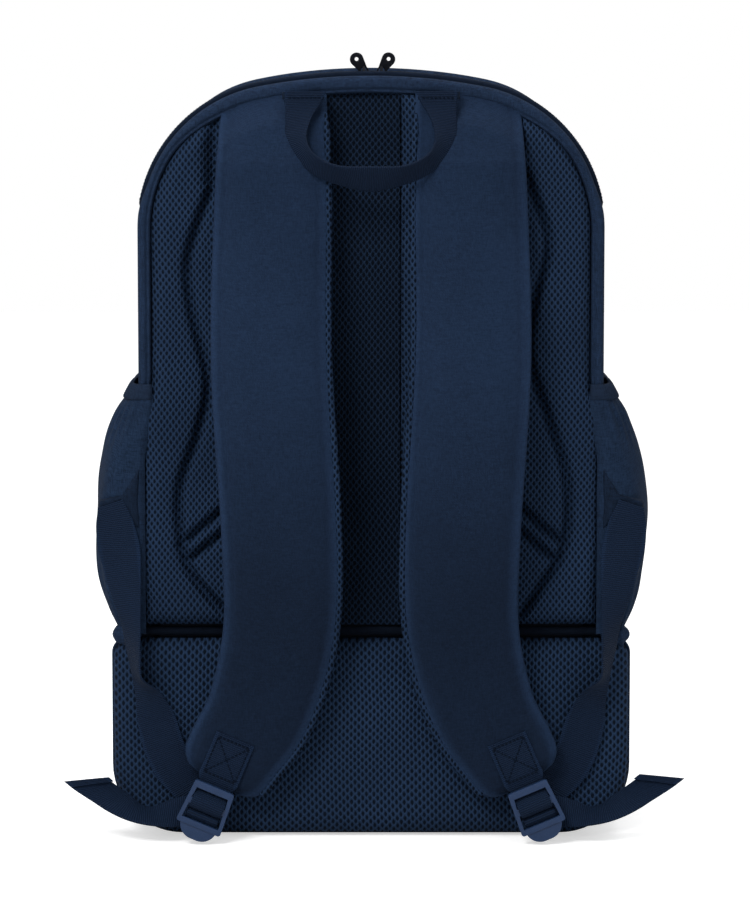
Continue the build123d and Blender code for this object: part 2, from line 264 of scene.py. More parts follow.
def rounded_box(half, low, high, low_round, high_round, step=2.5):
    """A closed loop of x and z with rounded corners, centred across the pack."""
    corners = [
        (half - low_round, low + low_round, low_round, -90),
        (half - high_round, high - high_round, high_round, 0),
        (-half + high_round, high - high_round, high_round, 90),
        (-half + low_round, low + low_round, low_round, 180),
    ]
    arcs = []
    for cx, cz, r, start in corners:
        turn = np.radians(np.linspace(start, start + 90, 14))
        arcs.append(np.stack([cx + r * np.cos(turn), cz + r * np.sin(turn)], -1))
    loop = np.vstack(arcs + [arcs[0][:1]])
    run = length_along(loop)
    count = int(run[-1] / step)
    at = np.linspace(0, run[-1], count, endpoint=False)
    return at_lengths(loop, run, at)


def loop_normals(loop):
    """Outward normals of a closed loop that runs anticlockwise."""
    ahead = np.roll(loop, -1, axis=0) - np.roll(loop, 1, axis=0)
    ahead = unit(ahead)
    return np.stack([ahead[:, 1], -ahead[:, 0]], -1)


def stack(loops):
    """Closed loops of equal count laid on each other as one grid, with both ends filled."""
    rows = len(loops)
    columns = len(loops[0])
    faces = quads(rows, columns, close_columns=True)
    caps = tube_ends(rows, columns)
    return np.vstack(loops), faces, caps


# ---------------------------------------------------------------- shader helpers
class Net:
    """Adds nodes to one shader tree, a call for each node."""

    def __init__(self, tree):
        self.tree = tree

    def feed(self, socket, value):
        """Joins a socket or sets a plain value."""
        if isinstance(value, bpy.types.NodeSocket):
            self.tree.links.new(value, socket)
        else:
            socket.default_value = value

    def node(self, kind, inputs=None, **settings):
        """One node, its settings and its inputs by name or number."""
        made = self.tree.nodes.new(kind)
        for key, value in settings.items():
            setattr(made, key, value)
        for key, value in (inputs or {}).items():
            self.feed(made.inputs[key], value)
        return made

    def math(self, operation, *values):
        """A maths node's result."""
        made = self.tree.nodes.new("ShaderNodeMath")
        made.operation = operation
        for socket, value in zip(made.inputs, values):
            self.feed(socket, value)
        return made.outputs[0]

    def mix(self, amount, low, high):
        """A colour between two colours."""
        made = self.tree.nodes.new("ShaderNodeMix")
        made.data_type = "RGBA"
        self.feed(made.inputs["Factor"], amount)
        self.feed(made.inputs["A"], low)
        self.feed(made.inputs["B"], high)
        return made.outputs["Result"]

    def noise(self, vector, scale, detail=2.0, roughness=0.5):
        """A noise texture's value."""
        inputs = {"Vector": vector, "Scale": scale, "Detail": detail, "Roughness": roughness}
        return self.node("ShaderNodeTexNoise", inputs).outputs["Fac"]

    def span(self, value, low, high, kind="LINEAR"):
        """A value mapped to 0 at low and 1 at high."""
        limits = {"Value": value, "From Min": low, "From Max": high}
        return self.node("ShaderNodeMapRange", limits, interpolation_type=kind).outputs[0]


def new_group(name, inputs, outputs):
    """An empty shader group with named sockets, and its input and output nodes."""
    tree = bpy.data.node_groups.new(name, "ShaderNodeTree")
    for label, kind, value in inputs:
        socket = tree.interface.new_socket(label, in_out="INPUT", socket_type=kind)
        if value is not None:
            socket.default_value = value
    for label, kind in outputs:
        tree.interface.new_socket(label, in_out="OUTPUT", socket_type=kind)
    net = Net(tree)
    return net, net.node("NodeGroupInput"), net.node("NodeGroupOutput")


VALUE = "NodeSocketFloat"
VECTOR = "NodeSocketVector"


def twill_group():
    """Fine crossed threads: two slanted sine waves of one pitch, and a streaky heather."""
    net, given, out = new_group(
        "twill", [("Vector", VECTOR, None), ("Pitch", VALUE, 0.0009)], [("Height", VALUE), ("Heather", VALUE)]
    )
    parts = net.node("ShaderNodeSeparateXYZ", {0: given.outputs["Vector"]}).outputs
    flat = net.math("ADD", parts["X"], parts["Y"])
    leaning = net.math("MULTIPLY_ADD", parts["Y"], -0.6, parts["Z"])
    turns = net.math("DIVIDE", 2 * pi, given.outputs["Pitch"])
    rising = net.math("SINE", net.math("MULTIPLY", net.math("ADD", flat, leaning), turns))
    falling = net.math("SINE", net.math("MULTIPLY", net.math("SUBTRACT", flat, leaning), turns))
    threads = net.math("MULTIPLY_ADD", net.math("MULTIPLY", rising, falling), 0.35, 0.5)
    ribbed = net.math("MULTIPLY_ADD", rising, 0.15, threads)
    level = net.node("ShaderNodeCombineXYZ", {"X": parts["X"], "Y": parts["Y"], "Z": leaning}).outputs[0]
    stretch = net.node("ShaderNodeMapping", {"Vector": level, "Scale": (260.0, 260.0, 1500.0)}).outputs[0]
    streak = net.noise(stretch, 1.0, 3.0, 0.65)
    across = net.node(
        "ShaderNodeMapping", {"Vector": given.outputs["Vector"], "Scale": (1500.0, 1500.0, 260.0)}
    ).outputs[0]
    streak_up = net.noise(across, 1.0, 3.0, 0.65)
    heather = net.math("MULTIPLY", net.math("ADD", streak, streak_up), 0.5)
    net.feed(out.inputs["Height"], ribbed)
    net.feed(out.inputs["Heather"], heather)
    return net.tree


def mesh_group():
    """Knitted holes: the distance to the nearer of two offset lattices, made a soft-edged mask."""
    net, given, out = new_group(
        "air_mesh_holes",
        [
            ("Vector", VECTOR, None),
            ("Pitch", VALUE, 0.0042),
            ("Rise", VALUE, 0.0046),
            ("Hole", VALUE, 0.0012),
        ],
        [("Hole", VALUE), ("Height", VALUE), ("Yarn", VALUE)],
    )
    drift = net.node("ShaderNodeTexNoise", {"Vector": given.outputs["Vector"], "Scale": 14.0, "Detail": 1.0})
    drifted = net.node(
        "ShaderNodeVectorMath",
        {0: drift.outputs["Color"], 1: (0.006, 0.006, 0.006), 2: given.outputs["Vector"]},
        operation="MULTIPLY_ADD",
    ).outputs[0]
    parts = net.node("ShaderNodeSeparateXYZ", {0: drifted}).outputs
    column = net.math("DIVIDE", parts["X"], given.outputs["Pitch"])
    row = net.math("DIVIDE", parts["Z"], given.outputs["Rise"])
    gaps = []
    for shift in (0.0, 0.5):
        a = net.math("SUBTRACT", net.math("FRACT", net.math("ADD", column, shift)), 0.5)
        b = net.math("SUBTRACT", net.math("FRACT", net.math("ADD", row, shift)), 0.5)
        wide = net.math("POWER", net.math("ABSOLUTE", net.math("MULTIPLY", a, given.outputs["Pitch"])), 1.6)
        tall = net.math("POWER", net.math("ABSOLUTE", net.math("MULTIPLY", b, given.outputs["Rise"])), 1.6)
        gaps.append(net.math("POWER", net.math("ADD", wide, net.math("MULTIPLY", tall, 0.42)), 1 / 1.6))
    gap = net.math("MINIMUM", *gaps)
    edge = net.math("DIVIDE", gap, given.outputs["Hole"])
    hole = net.math("SUBTRACT", 1.0, net.span(edge, 0.72, 1.22, "SMOOTHSTEP"))
    height = net.span(edge, 0.6, 1.7, "SMOOTHSTEP")
    knit = net.noise(given.outputs["Vector"], 1600.0, 2.0, 0.6)
    net.feed(out.inputs["Hole"], hole)
    net.feed(out.inputs["Height"], net.math("MULTIPLY_ADD", knit, 0.2, height))
    net.feed(out.inputs["Yarn"], knit)
    return net.tree


def rib_group():
    """Woven webbing: ribs across the band by the length mark, with a denser selvedge."""
    outputs = [("Height", VALUE), ("Shade", VALUE)]
    net, given, out = new_group("webbing_ribs", [("Pitch", VALUE, 1.25)], outputs)
    along = net.node("ShaderNodeAttribute", attribute_name="along").outputs["Fac"]
    across = net.node("ShaderNodeAttribute", attribute_name="across").outputs["Fac"]
    turns = net.math("DIVIDE", 2 * pi, given.outputs["Pitch"])
    rib = net.math("MULTIPLY_ADD", net.math("SINE", net.math("MULTIPLY", along, turns)), 0.5, 0.5)
    warp = net.math("MULTIPLY_ADD", net.math("SINE", net.math("MULTIPLY", across, turns)), 0.5, 0.5)
    selvedge = net.span(net.math("ABSOLUTE", across), 10.4, 11.6)
    height = net.math("MULTIPLY_ADD", warp, 0.25, rib)
    net.feed(out.inputs["Height"], height)
    shade = net.math("MULTIPLY_ADD", rib, 0.7, net.math("MULTIPLY", selvedge, 0.35))
    net.feed(out.inputs["Shade"], shade)
    return net.tree


TWILL = twill_group()
HOLES = mesh_group()
RIBS = rib_group()


def new_finish(name, roughness, sheen=0.0, specular=0.5):
    """A material with its Principled shader's plain numbers set, and its net."""
    finish = bpy.data.materials.new(name)
    finish.use_nodes = True
    tree = finish.node_tree
    shader = tree.nodes["Principled BSDF"]
    shader.inputs["Roughness"].default_value = roughness
    shader.inputs["Sheen Weight"].default_value = sheen
    shader.inputs["Sheen Roughness"].default_value = 0.4
    shader.inputs["Specular IOR Level"].default_value = specular
    return finish, Net(tree), shader


def own_coordinates(net):
    """The piece's own coordinates, in metres."""
    return net.node("ShaderNodeTexCoord").outputs["Object"]


def bump(net, shader, height, distance, strength=1.0):
    """Sends a height to the shader's normal."""
    made = net.node("ShaderNodeBump", {"Height": height, "Distance": distance, "Strength": strength})
    net.feed(shader.inputs["Normal"], made.outputs[0])


def shade(colour, factor):
    """A colour scaled in brightness, with alpha."""
    return tuple(c * factor for c in colour) + (1.0,)


def cloth_finish(name, colour, pitch=0.0009, spread=0.45, roughness=0.9, sheen=0.0, painted_light_attribute=None):
    """Heathered woven cloth; a point attribute may scale its tone with painted light: painted shade, and a
    painted highlight along a rolled edge.
    """
    finish, net, shader = new_finish(name, roughness, sheen, 0.07)
    where = own_coordinates(net)
    twill = net.node("ShaderNodeGroup", {"Vector": where, "Pitch": pitch}, node_tree=TWILL)
    broad = net.noise(where, 22.0, 3.0, 0.55)
    mottle = net.math("MULTIPLY_ADD", broad, 0.12, net.math("MULTIPLY", twill.outputs["Heather"], 1.05))
    weave = net.math("MULTIPLY_ADD", twill.outputs["Height"], 0.25, mottle)
    light = net.span(weave, 0.56, 0.86)
    tone = net.mix(light, shade(colour, 1 - spread), shade(colour, 1 + spread))
    if painted_light_attribute:
        # The attribute paints light into the colour: painted shade and painted highlights.
        painted_light = net.node("ShaderNodeAttribute", attribute_name=painted_light_attribute).outputs["Fac"]
        tone = net.node("ShaderNodeVectorMath", {0: tone, "Scale": painted_light}, operation="SCALE").outputs[0]
    net.feed(shader.inputs["Base Color"], tone)
    fold = net.noise(where, 60.0, 3.0, 0.5)
    height = net.math("MULTIPLY_ADD", fold, 1.6, twill.outputs["Height"])
    bump(net, shader, height, 0.00025, 0.8)
    return finish


def mesh_finish(name, colour, pitch, rise, hole):
    """Knitted spacer mesh: dark holes in lighter yarn."""
    finish, net, shader = new_finish(name, 0.9, 0.0, 0.05)
    where = own_coordinates(net)
    sizes = {"Vector": where, "Pitch": pitch, "Rise": rise, "Hole": hole}
    holes = net.node("ShaderNodeGroup", sizes, node_tree=HOLES)
    broad = net.noise(where, 18.0, 2.0, 0.5)
    lift = net.math("MULTIPLY_ADD", broad, 0.7, net.math("MULTIPLY", holes.outputs["Yarn"], 0.5))
    yarn = net.mix(lift, shade(colour, 0.55), shade(colour, 1.5))
    net.feed(shader.inputs["Base Color"], net.mix(holes.outputs["Hole"], yarn, shade(colour, 0.19)))
    bump(net, shader, holes.outputs["Height"], 0.0007)
    return finish


def webbing_finish(name, colour, pitch=1.25):
    """Ribbed flat webbing."""
    finish, net, shader = new_finish(name, 0.8, 0.0, 0.10)
    ribs = net.node("ShaderNodeGroup", {"Pitch": pitch}, node_tree=RIBS)
    fuzz = net.noise(own_coordinates(net), 900.0, 2.0, 0.6)
    tone = net.math("MULTIPLY_ADD", fuzz, 0.4, net.math("MULTIPLY", ribs.outputs["Shade"], 0.8))
    net.feed(shader.inputs["Base Color"], net.mix(tone, shade(colour, 0.4), shade(colour, 1.6)))
    bump(net, shader, ribs.outputs["Height"], 0.00035)
    return finish


def moulded_finish(name, colour, roughness=0.42, specular=0.3, grain=0.00006):
    """Moulded plastic or painted metal: fine grain, slight tone change, and scuffs in the roughness."""
    finish, net, shader = new_finish(name, roughness, 0.0, specular)
    where = own_coordinates(net)
    broad = net.noise(where, 120.0, 3.0, 0.55)
    fine = net.noise(where, 2600.0, 2.0, 0.6)
    net.feed(shader.inputs["Base Color"], net.mix(broad, shade(colour, 0.82), shade(colour, 1.18)))
    net.feed(shader.inputs["Roughness"], net.math("MULTIPLY_ADD", broad, 0.25, roughness - 0.12))
    bump(net, shader, fine, grain)
    return finish


NAVY = (0.0082, 0.0178, 0.0400)
PACK_CLOTH = cloth_finish("heathered_navy_cloth", NAVY, 0.0011, 0.5)
# The strap cloth's colour is scaled by painted shade and a painted highlight from its point attribute.
STRAP_CLOTH = cloth_finish("strap_twill", (0.0079, 0.0173, 0.0403), 0.0010, 0.3, painted_light_attribute="strap_painted_light")
EDGE_CLOTH = cloth_finish("edge_binding_cloth", (0.0092, 0.0190, 0.0425), 0.0012, 0.5)
BACK_MESH = mesh_finish("back_air_mesh", (0.0104, 0.0226, 0.0505), 0.0039, 0.0050, 0.00079)
LUMBAR_MESH = mesh_finish("lumbar_air_mesh", (0.0112, 0.0243, 0.0540), 0.0050, 0.0050, 0.00096)
WEBBING = webbing_finish("ribbed_webbing", (0.0036, 0.0104, 0.0275))
# Painted shade: a near-black cloth for the waist recess and the binding's lower strip, which lie in shadow.
PAINTED_SHADE_CLOTH = cloth_finish("painted_shade_cloth", (0.0020, 0.0042, 0.0095), 0.0008, 0.3)
CHANNEL_MESH = mesh_finish("channel_air_mesh", (0.0062, 0.0136, 0.0300), 0.0039, 0.0050, 0.00095)
LINING = cloth_finish("lining_cloth", (0.0300, 0.0340, 0.0420), 0.0016, 0.2, 0.6, 0.05)
ZIP_TAPE = cloth_finish("zip_tape_weave", (0.0050, 0.0098, 0.0215), 0.0007, 0.3)
ZIP_COIL = moulded_finish("zip_coil_nylon", (0.0020, 0.0030, 0.0060), 0.45, 0.12)
SLIDER_PAINT = moulded_finish("black_slider_paint", (0.0026, 0.0036, 0.0066), 0.35, 0.14)
PULLER_RUBBER = moulded_finish("black_puller_moulding", (0.0018, 0.0026, 0.0050), 0.50, 0.07)
LOCK_PLASTIC = moulded_finish("blue_lock_acetal", (0.0122, 0.0300, 0.0790), 0.38, 0.24)
BOARD_PLASTIC = moulded_finish("stiffener_board", (0.0016, 0.0026, 0.0055), 0.7, 0.05)
THREAD = moulded_finish("bonded_thread", (0.0026, 0.0056, 0.0130), 0.8, 0.04)
HANDLE_WEB = webbing_finish("handle_webbing", (0.0032, 0.0092, 0.0245), 1.1)
WEB_END = cloth_finish("webbing_bartack", (0.0045, 0.0095, 0.0210), 0.0007, 0.3)
ANCHOR_CLOTH = cloth_finish("anchor_tab_cloth", (0.0050, 0.0108, 0.0245), 0.0012, 0.5)
HEM_TAPE = cloth_finish("elastic_hem_knit", (0.0080, 0.0155, 0.0330), 0.0014, 0.35)


# ---------------------------------------------------------------- edge binding and zip
def binding_width(z):
    """The rolled binding in three steps: 1.8 mm low down, 8.2 on the sides and 12.8 over the crown."""
    return 1.8 + (6.4 + 4.6 * ramp(z, 436, 482)) * ramp(z, 262, 296)


def edge_binding():
    """Section |cos|^0.8 by 7 |sin|^0.62 along the arch, with a dent 1.3 exp(-((d - 2.6) / 0.8)^2) within."""
    base, out, run = arch(BAND_LOW[2], 460)
    turn = np.linspace(0, 2 * pi, 44, endpoint=False)
    c, s = np.cos(turn), np.sin(turn)
    step = 2.0 * ramp(base[:, 1], 396, 420)[:, None]
    half = (binding_width(base[:, 1])[:, None] - step + 0.4) / 2
    across = np.sign(c) * abs(c) ** 0.8 * half
    deep = (np.sign(s) * abs(s) ** 0.62 * 7.0)[None, :] + 0 * half
    inset = BAND_OUT + step + half - across
    front = ramp(-deep, 1, 6)
    from_inner = BAND_OUT + step + 2 * half - inset
    dent = 1.3 * np.exp(-(((from_inner - 2.6) / 0.8) ** 2)) * front
    pucker = 0.35 * np.sin(run / 2.1)[:, None] * np.exp(-((from_inner / 4.0) ** 2)) * front
    swell = 0.5 * soft_noise(run, run * 0, 26.0)[:, None] * front
    x = base[:, 0][:, None] - out[:, 0][:, None] * inset
    z = base[:, 1][:, None] - out[:, 1][:, None] * inset
    y = (BAND_LOW[1] + BACK_Y) / 2 + deep + dent - pucker - swell
    rows, columns = x.shape
    # Below this height the binding takes the near-black cloth: painted shade for the shadowed strip beside
    # the webbing.
    painted_shade_faces = np.repeat(base[:-1, 1] < BINDING_SHADE_Z, columns).astype(int)
    faces = quads(rows, columns, close_columns=True)
    finishes = [EDGE_CLOTH, PAINTED_SHADE_CLOTH]
    points = np.stack([x, y, z], -1)
    piece = build("edge_binding_roll", points, faces, finishes, tube_ends(rows, columns), painted_shade_faces)
    return place(piece, "pack", ["edge_binding"])


def cut_depth(z):
    """How far back the main zip's line lies at a height on the side."""
    slope = (PACK_FRONT - ZIP_Y) / (ZIP_CORNER_Z - HINGE_Z)
    return np.maximum(PACK_FRONT - (z - HINGE_Z) * slope, ZIP_Y)


def zip_line(count):
    """The zip's line, side to side: places, directions along, away from the pack, and towards the lid."""
    base, out, _ = arch(ZIP_CORNER_Z, 500)
    flat = base - out * ZIP_IN
    top = np.stack([flat[:, 0], np.full(len(base), ZIP_Y), flat[:, 1]], -1)
    foot_z = HINGE_Z + (PACK_FRONT - ZIP_END_Y) * (ZIP_CORNER_Z - HINGE_Z) / (PACK_FRONT - ZIP_Y)
    t = np.linspace(0, 1, 120, endpoint=False)[:, None]
    left_foot = np.array([ZIP_IN - HALF, ZIP_END_Y, foot_z])
    left = left_foot + (top[0] - left_foot) * t
    left[:, 0] += (GUSSET_IN - 1.2 - ZIP_IN) * (1 - ramp(t[:, 0], 0.7, 1))
    right = (left * [-1, 1, 1])[::-1]
    line = np.vstack([left, top, right])
    away = np.zeros_like(line)
    away[: len(left), 0] = -1
    away[-len(right) :, 0] = 1
    away[len(left) : -len(right), 0] = out[:, 0]
    away[len(left) : -len(right), 2] = out[:, 1]
    run = length_along(line)
    at = np.linspace(0, run[-1], count)
    line = at_lengths(line, run, at)
    away = unit(at_lengths(away, run, at))
    along = unit(np.gradient(line, axis=0))
    lidward = unit(np.cross(along, away))
    lidward *= np.sign(lidward[count // 2, 1])
    return line, along, away, lidward, run[-1]


def zip_half(name, side, body, node):
    """One tape with a folded edge, and its row of coil turns, each a small rounded block."""
    line, _, away, lidward, length = zip_line(700)
    section = [(0.5, -0.5), (0.5, 0.3), (2.6, 0.6), (4.2, 1.6)]
    section += [(5.0, 0.4), (4.6, -3.4), (3.6, -3.4), (3.4, -0.5)]
    tape = np.stack([line + lidward * side * a + away * b for a, b in section], 1)
    faces = quads(len(line), len(section), close_columns=True)
    piece = build(name + "_tape", tape, faces, [ZIP_TAPE], tube_ends(len(line), len(section)))
    place(piece, body, [node])
    line, along, away, lidward, _ = zip_line(int(length / COIL_PITCH))
    stagger = 0.0 if side > 0 else 1.1
    centre = line + along * stagger + lidward * side * 0.5 + away * 1.15
    ring = [(-0.55, -0.55), (0.55, -0.55), (0.55, 0.35), (0.3, 0.75), (-0.3, 0.75), (-0.55, 0.35)]
    shells = []
    for reach, size in ((-0.45, 0.6), (0.2, 1.0), (1.6, 1.0), (2.1, 0.6)):
        start = centre + lidward * side * reach
        shells.append(np.stack([start + along * a * size + away * b * size for a, b in ring], 1))
    return place(blocks(name + "_coil", shells, ZIP_COIL), body)


# ---------------------------------------------------------------- padded back
LEFT_GROOVE = [(416, -97), (412, -101), (371, -115), (338, -113), (293, -103), (261, -109), (224, -121)]
LEFT_GROOVE += [(187, -119.5), (168, -112), (150, -96.5), (137, -80)]
RIGHT_GROOVE = [(430, 92), (416, 99.7), (379, 111.8), (338, 101.6), (306, 99.7), (269, 111.8), (228, 123.8)]
RIGHT_GROOVE += [(187, 121.9), (160, 106), (138, 91.4)]
LEFT_BARS = [((-121, 188), (-84, 219)), ((-117, 177.5), (-84, 204))]
RIGHT_BARS = [((123, 188), (86, 219)), ((119, 177.5), (86, 204))]


def groove_gap(x, z, line):
    """Distance across to a sewn line that runs up and down the pad."""
    path = smooth_line([(b, a) for a, b in line], 200)
    order = np.argsort(path[:, 1])
    at = np.interp(z, path[order, 1], path[order, 0])
    slope = np.interp(z, path[order, 1], np.gradient(path[order, 0], path[order, 1] + 1e-6))
    return abs(x - at) / np.sqrt(1 + np.clip(slope, -2, 2) ** 2)


def bar_gap(x, z, bar):
    """Distance to a short straight sewn line."""
    a, b = np.array(bar[0]), np.array(bar[1])
    ab = b - a
    t = np.clip(((x - a[0]) * ab[0] + (z - a[1]) * ab[1]) / (ab @ ab), 0, 1)
    return np.hypot(x - a[0] - t * ab[0], z - a[1] - t * ab[1])


def pad_front(x, z, inner, line, bars):
    """The pad's face: edges rolled by sqrt(1 - (1 - gap / 11)^2), and sewn lines 0.85 exp(-(d / 2.5)^2)."""
    outer_gap = arch_depth(x, z) - BAND_OUT - binding_width(z)
    gap = np.minimum(np.minimum(outer_gap, abs(x - inner)), z - WAIST_Z - 8)
    roll = np.sqrt(1 - (1 - np.clip(gap / 11.0, 0, 1)) ** 2)
    groove = groove_gap(x, z, line)
    sewn = 0.85 * np.exp(-((groove / 2.5) ** 2)) * ramp(z, 132, 150)
    for bar in bars:
        sewn = np.maximum(sewn, 0.8 * np.exp(-((bar_gap(x, z, bar) / 2.4) ** 2)))
    swell = 1.2 * (1 - np.exp(-((groove / 15.0) ** 2))) * ramp(gap, 0, 30) * (1 - ramp(z, 395, 425))
    wave = 0.5 * soft_noise(x, z, 21.0, 1.7) * ramp(gap, 4, 16)
    height = (BOARD_Y - PAD_Y) * roll * (1 - sewn) + swell + wave
    return BOARD_Y - np.maximum(height, 0.3)


def back_pad(side):
    """A grid from the arch to the channel, by length along the arch, closed by a flat back."""
    left = side == "left"
    inner = CHANNEL_LEFT - 0.7 if left else CHANNEL_RIGHT + 0.7
    base, out, _ = arch(WAIST_Z + 8, 560)
    inset = BAND_OUT + binding_width(base[:, 1]) + 0.1
    rim = base - out * inset[:, None]
    keep = rim[:, 0] < inner if left else rim[:, 0] > inner
    rim = rim[keep]
    across = 1 - (1 - np.linspace(0, 1, 72)) ** 1.25
    x = rim[:, 0][:, None] + (inner - rim[:, 0][:, None]) * across
    z = rim[:, 1][:, None] + 0 * x
    line, bars = (LEFT_GROOVE, LEFT_BARS) if left else (RIGHT_GROOVE, RIGHT_BARS)
    y = pad_front(x, z, inner, line, bars)
    front = np.stack([x, y, z], -1)
    rows, columns = x.shape
    edge = [i * columns for i in range(rows)] + [(rows - 1) * columns + j for j in range(1, columns)]
    edge += [i * columns + columns - 1 for i in range(rows - 2, -1, -1)]
    edge += list(range(columns - 2, 0, -1))
    points = front.reshape(-1, 3)
    back = points[edge] * [1, 0, 1] + [0, BOARD_Y + 0.2, 0]
    ring = np.arange(len(edge)) + len(points)
    edge = np.array(edge)
    walls = np.stack([edge, np.roll(edge, -1), np.roll(ring, -1), ring], -1)
    faces = np.vstack([quads(rows, columns), walls])
    piece = build(side + "_mesh_pad", np.vstack([points, back]), faces, [BACK_MESH], [ring])
    return place(piece, "pack", [side + "_back_pad"])


def air_channel():
    """The sunken middle strip: a trough 0.35 + 0.4 |u|^4 of the depth, with a slack ripple."""
    z = np.linspace(WAIST_Z + 8, TOP - BAND_IN - 0.5, 260)[:, None]
    u = np.linspace(-1, 1, 34)[None, :]
    middle = (CHANNEL_LEFT + CHANNEL_RIGHT) / 2
    half = (CHANNEL_RIGHT - CHANNEL_LEFT) / 2 + 0.6
    x = middle + half * u + 0 * z
    z = z + 0 * u
    trough = BOARD_Y - (BOARD_Y - CHANNEL_Y) * (0.35 + 0.4 * abs(u) ** 4)
    y = trough + 0.5 * soft_noise(x, z, 17.0, 3.1)
    front = np.stack([x, y, z], -1)
    back = np.stack([x, np.full_like(y, BOARD_Y + 0.2), z], -1)
    points = np.concatenate([front, back[:, ::-1]], 1)
    rows, columns = points.shape[:2]
    faces = quads(rows, columns, close_columns=True)
    piece = build("air_channel_mesh", points, faces, [CHANNEL_MESH], tube_ends(rows, columns))
    return place(piece, "pack", ["air_channel_pad"])


def lumbar_pad():
    """Rings shrunk towards the middle of the lower outline.

    The rim is rolled by sqrt(1 - (1 - gap / 13)^2), and the middle is hollow by 2.4 exp(-(x / 60)^2).
    """
    rim = rounded_box(LOWER_HALF - 1.4, 1.4, WAIST_Z - 1.0, 43.0, 12.0, 2.2)
    centre = np.array([0.0, WAIST_Z / 2])
    loops = [np.stack([rim[:, 0], np.full(len(rim), BACK_Y - 0.5), rim[:, 1]], -1)]
    for k in np.linspace(0, 1, 46)[:-1] ** 1.15:
        ring = rim + (centre - rim) * k
        gap = np.hypot(*(ring - rim).T)
        x, z = ring.T
        gap = np.minimum(gap, np.minimum(LOWER_HALF - 1.4 - abs(x), np.minimum(z - 1.4, WAIST_Z - 1 - z)))
        roll = np.sqrt(1 - (1 - np.clip(gap / 13.0, 0, 1)) ** 2)
        dip = 2.4 * np.exp(-((x / 60.0) ** 2)) * ramp(gap, 5, 45)
        y = LUMBAR_HIGH[1] - (LUMBAR_HIGH[1] - LUMBAR_LOW[1]) * roll - 1.2 * ramp(gap, 5, 35) + dip
        y = y + 0.5 * soft_noise(x, z, 24.0, 5.3) * ramp(gap, 4, 14)
        loops.append(np.stack([x, y, z], -1))
    points, faces, caps = stack(loops)
    piece = build("lumbar_mesh_pad", points, faces, [LUMBAR_MESH], caps)
    return place(piece, "pack", ["lumbar_pad"])


def tube(name, line, radius, finish, body, replaced=(), squash=1.0, count=16, across=None):
    """A round section carried along a line, closed at its ends."""
    line = np.asarray(line, float)
    along = unit(np.gradient(line, axis=0))
    side = unit(np.cross(along, [0.0, 1.0, 0.001]))
    up = np.cross(along, side)
    turn = np.linspace(0, 2 * pi, count, endpoint=False)
    size = np.broadcast_to(radius, (len(line),))[:, None, None]
    ring = np.cos(turn)[None, :, None] * side[:, None] + squash * np.sin(turn)[None, :, None] * up[:, None]
    points = line[:, None] + size * ring
    rows, columns = points.shape[:2]
    caps = tube_ends(rows, columns)
    piece = build(name, points, quads(rows, columns, close_columns=True), [finish], caps)
    return place(piece, body, replaced, across)


def closed_tube(name, loop, radius, finish, body, replaced=(), count=12):
    """A round section carried round a closed loop of x, y and z."""
    along = unit(np.roll(loop, -1, axis=0) - np.roll(loop, 1, axis=0))
    side = unit(np.cross(along, [0.0, 1.0, 0.001]))
    up = np.cross(along, side)
    turn = np.linspace(0, 2 * pi, count, endpoint=False)
    ring = np.cos(turn)[None, :, None] * side[:, None] + np.sin(turn)[None, :, None] * up[:, None]
    points = loop[:, None] + radius * ring
    rows, columns = points.shape[:2]
    piece = build(name, points, quads(rows, columns, True, True), [finish])
    return place(piece, body, replaced)


def waist_seam():
    """The roll between the back panel and the lower section, in near-black cloth as painted shade for the
    recess there, with a puckered cloth lump at each end.

    The lump is exp(-(d / 5)^2), with d the distance in from 11 mm short of the seam's end.
    """
    low, high = box_mm("waist_piping")
    lump_from = high[0] - 15.0
    spans = (
        ("waist_seam_roll", -lump_from, lump_from, PAINTED_SHADE_CLOTH, ["waist_piping"]),
        ("left_waist_lump", low[0], -lump_from + 2, EDGE_CLOTH, ()),
        ("right_waist_lump", lump_from - 2, high[0], EDGE_CLOTH, ()),
    )
    for name, start, end, finish, replaced in spans:
        x = np.linspace(start, end, 200)
        lump = np.exp(-((np.maximum(high[0] - 11 - abs(x), 0) / 5.0) ** 2))
        radius = 3.0 + 4.0 * lump + 0.45 * np.sin(x / 0.9) * lump
        radius = radius * np.sqrt(np.clip((high[0] - abs(x)) / 5.0, 0.02, 1))
        y = (low[1] + high[1]) / 2 + 4.0 * (1 - lump)
        z = (low[2] + high[2]) / 2 - 1.6 * lump
        tube(name, np.stack([x, y, z], -1), radius, finish, "pack", replaced)


# ---------------------------------------------------------------- outer shells
def shell_profile(distance):
    """Inset and depth at a distance back from the front face's edge.

    Round the corner, with a = pi / 2 - distance / R, the inset is R (1 - cos a) and the depth falls by
    R (1 - sin a); after it, the depth falls with the distance.
    """
    arc = FRONT_ROUND * pi / 2
    turn = np.clip(distance, 0, arc) / FRONT_ROUND
    inset = GUSSET_IN + FRONT_ROUND * (1 - np.cos(pi / 2 - turn))
    depth = PACK_FRONT - FRONT_ROUND + FRONT_ROUND * np.sin(pi / 2 - turn)
    depth = depth - np.maximum(distance - arc, 0)
    return inset, depth


def reach_of(depth):
    """The distance back from the front face's edge that ends at a depth."""
    arc = FRONT_ROUND * pi / 2
    round_end = PACK_FRONT - FRONT_ROUND
    on_round = FRONT_ROUND * (pi / 2 - np.arcsin(np.clip((depth - round_end) / FRONT_ROUND, 0, 1)))
    return np.where(depth > round_end, on_round, arc + round_end - depth)


def cloth_ripple(points, amount, seed):
    """Pushes points off the middle line by noise(x + y, z) over 34 mm and half noise(x - y, z) over 15."""
    away = unit(points * [1, 1, 0] + 1e-6)
    ripple = soft_noise(points[..., 0] + points[..., 1], points[..., 2], 34.0, seed)
    ripple += 0.5 * soft_noise(points[..., 0] - points[..., 1], points[..., 2], 15.0, seed + 2)
    return points + away * (amount * ripple)[..., None]


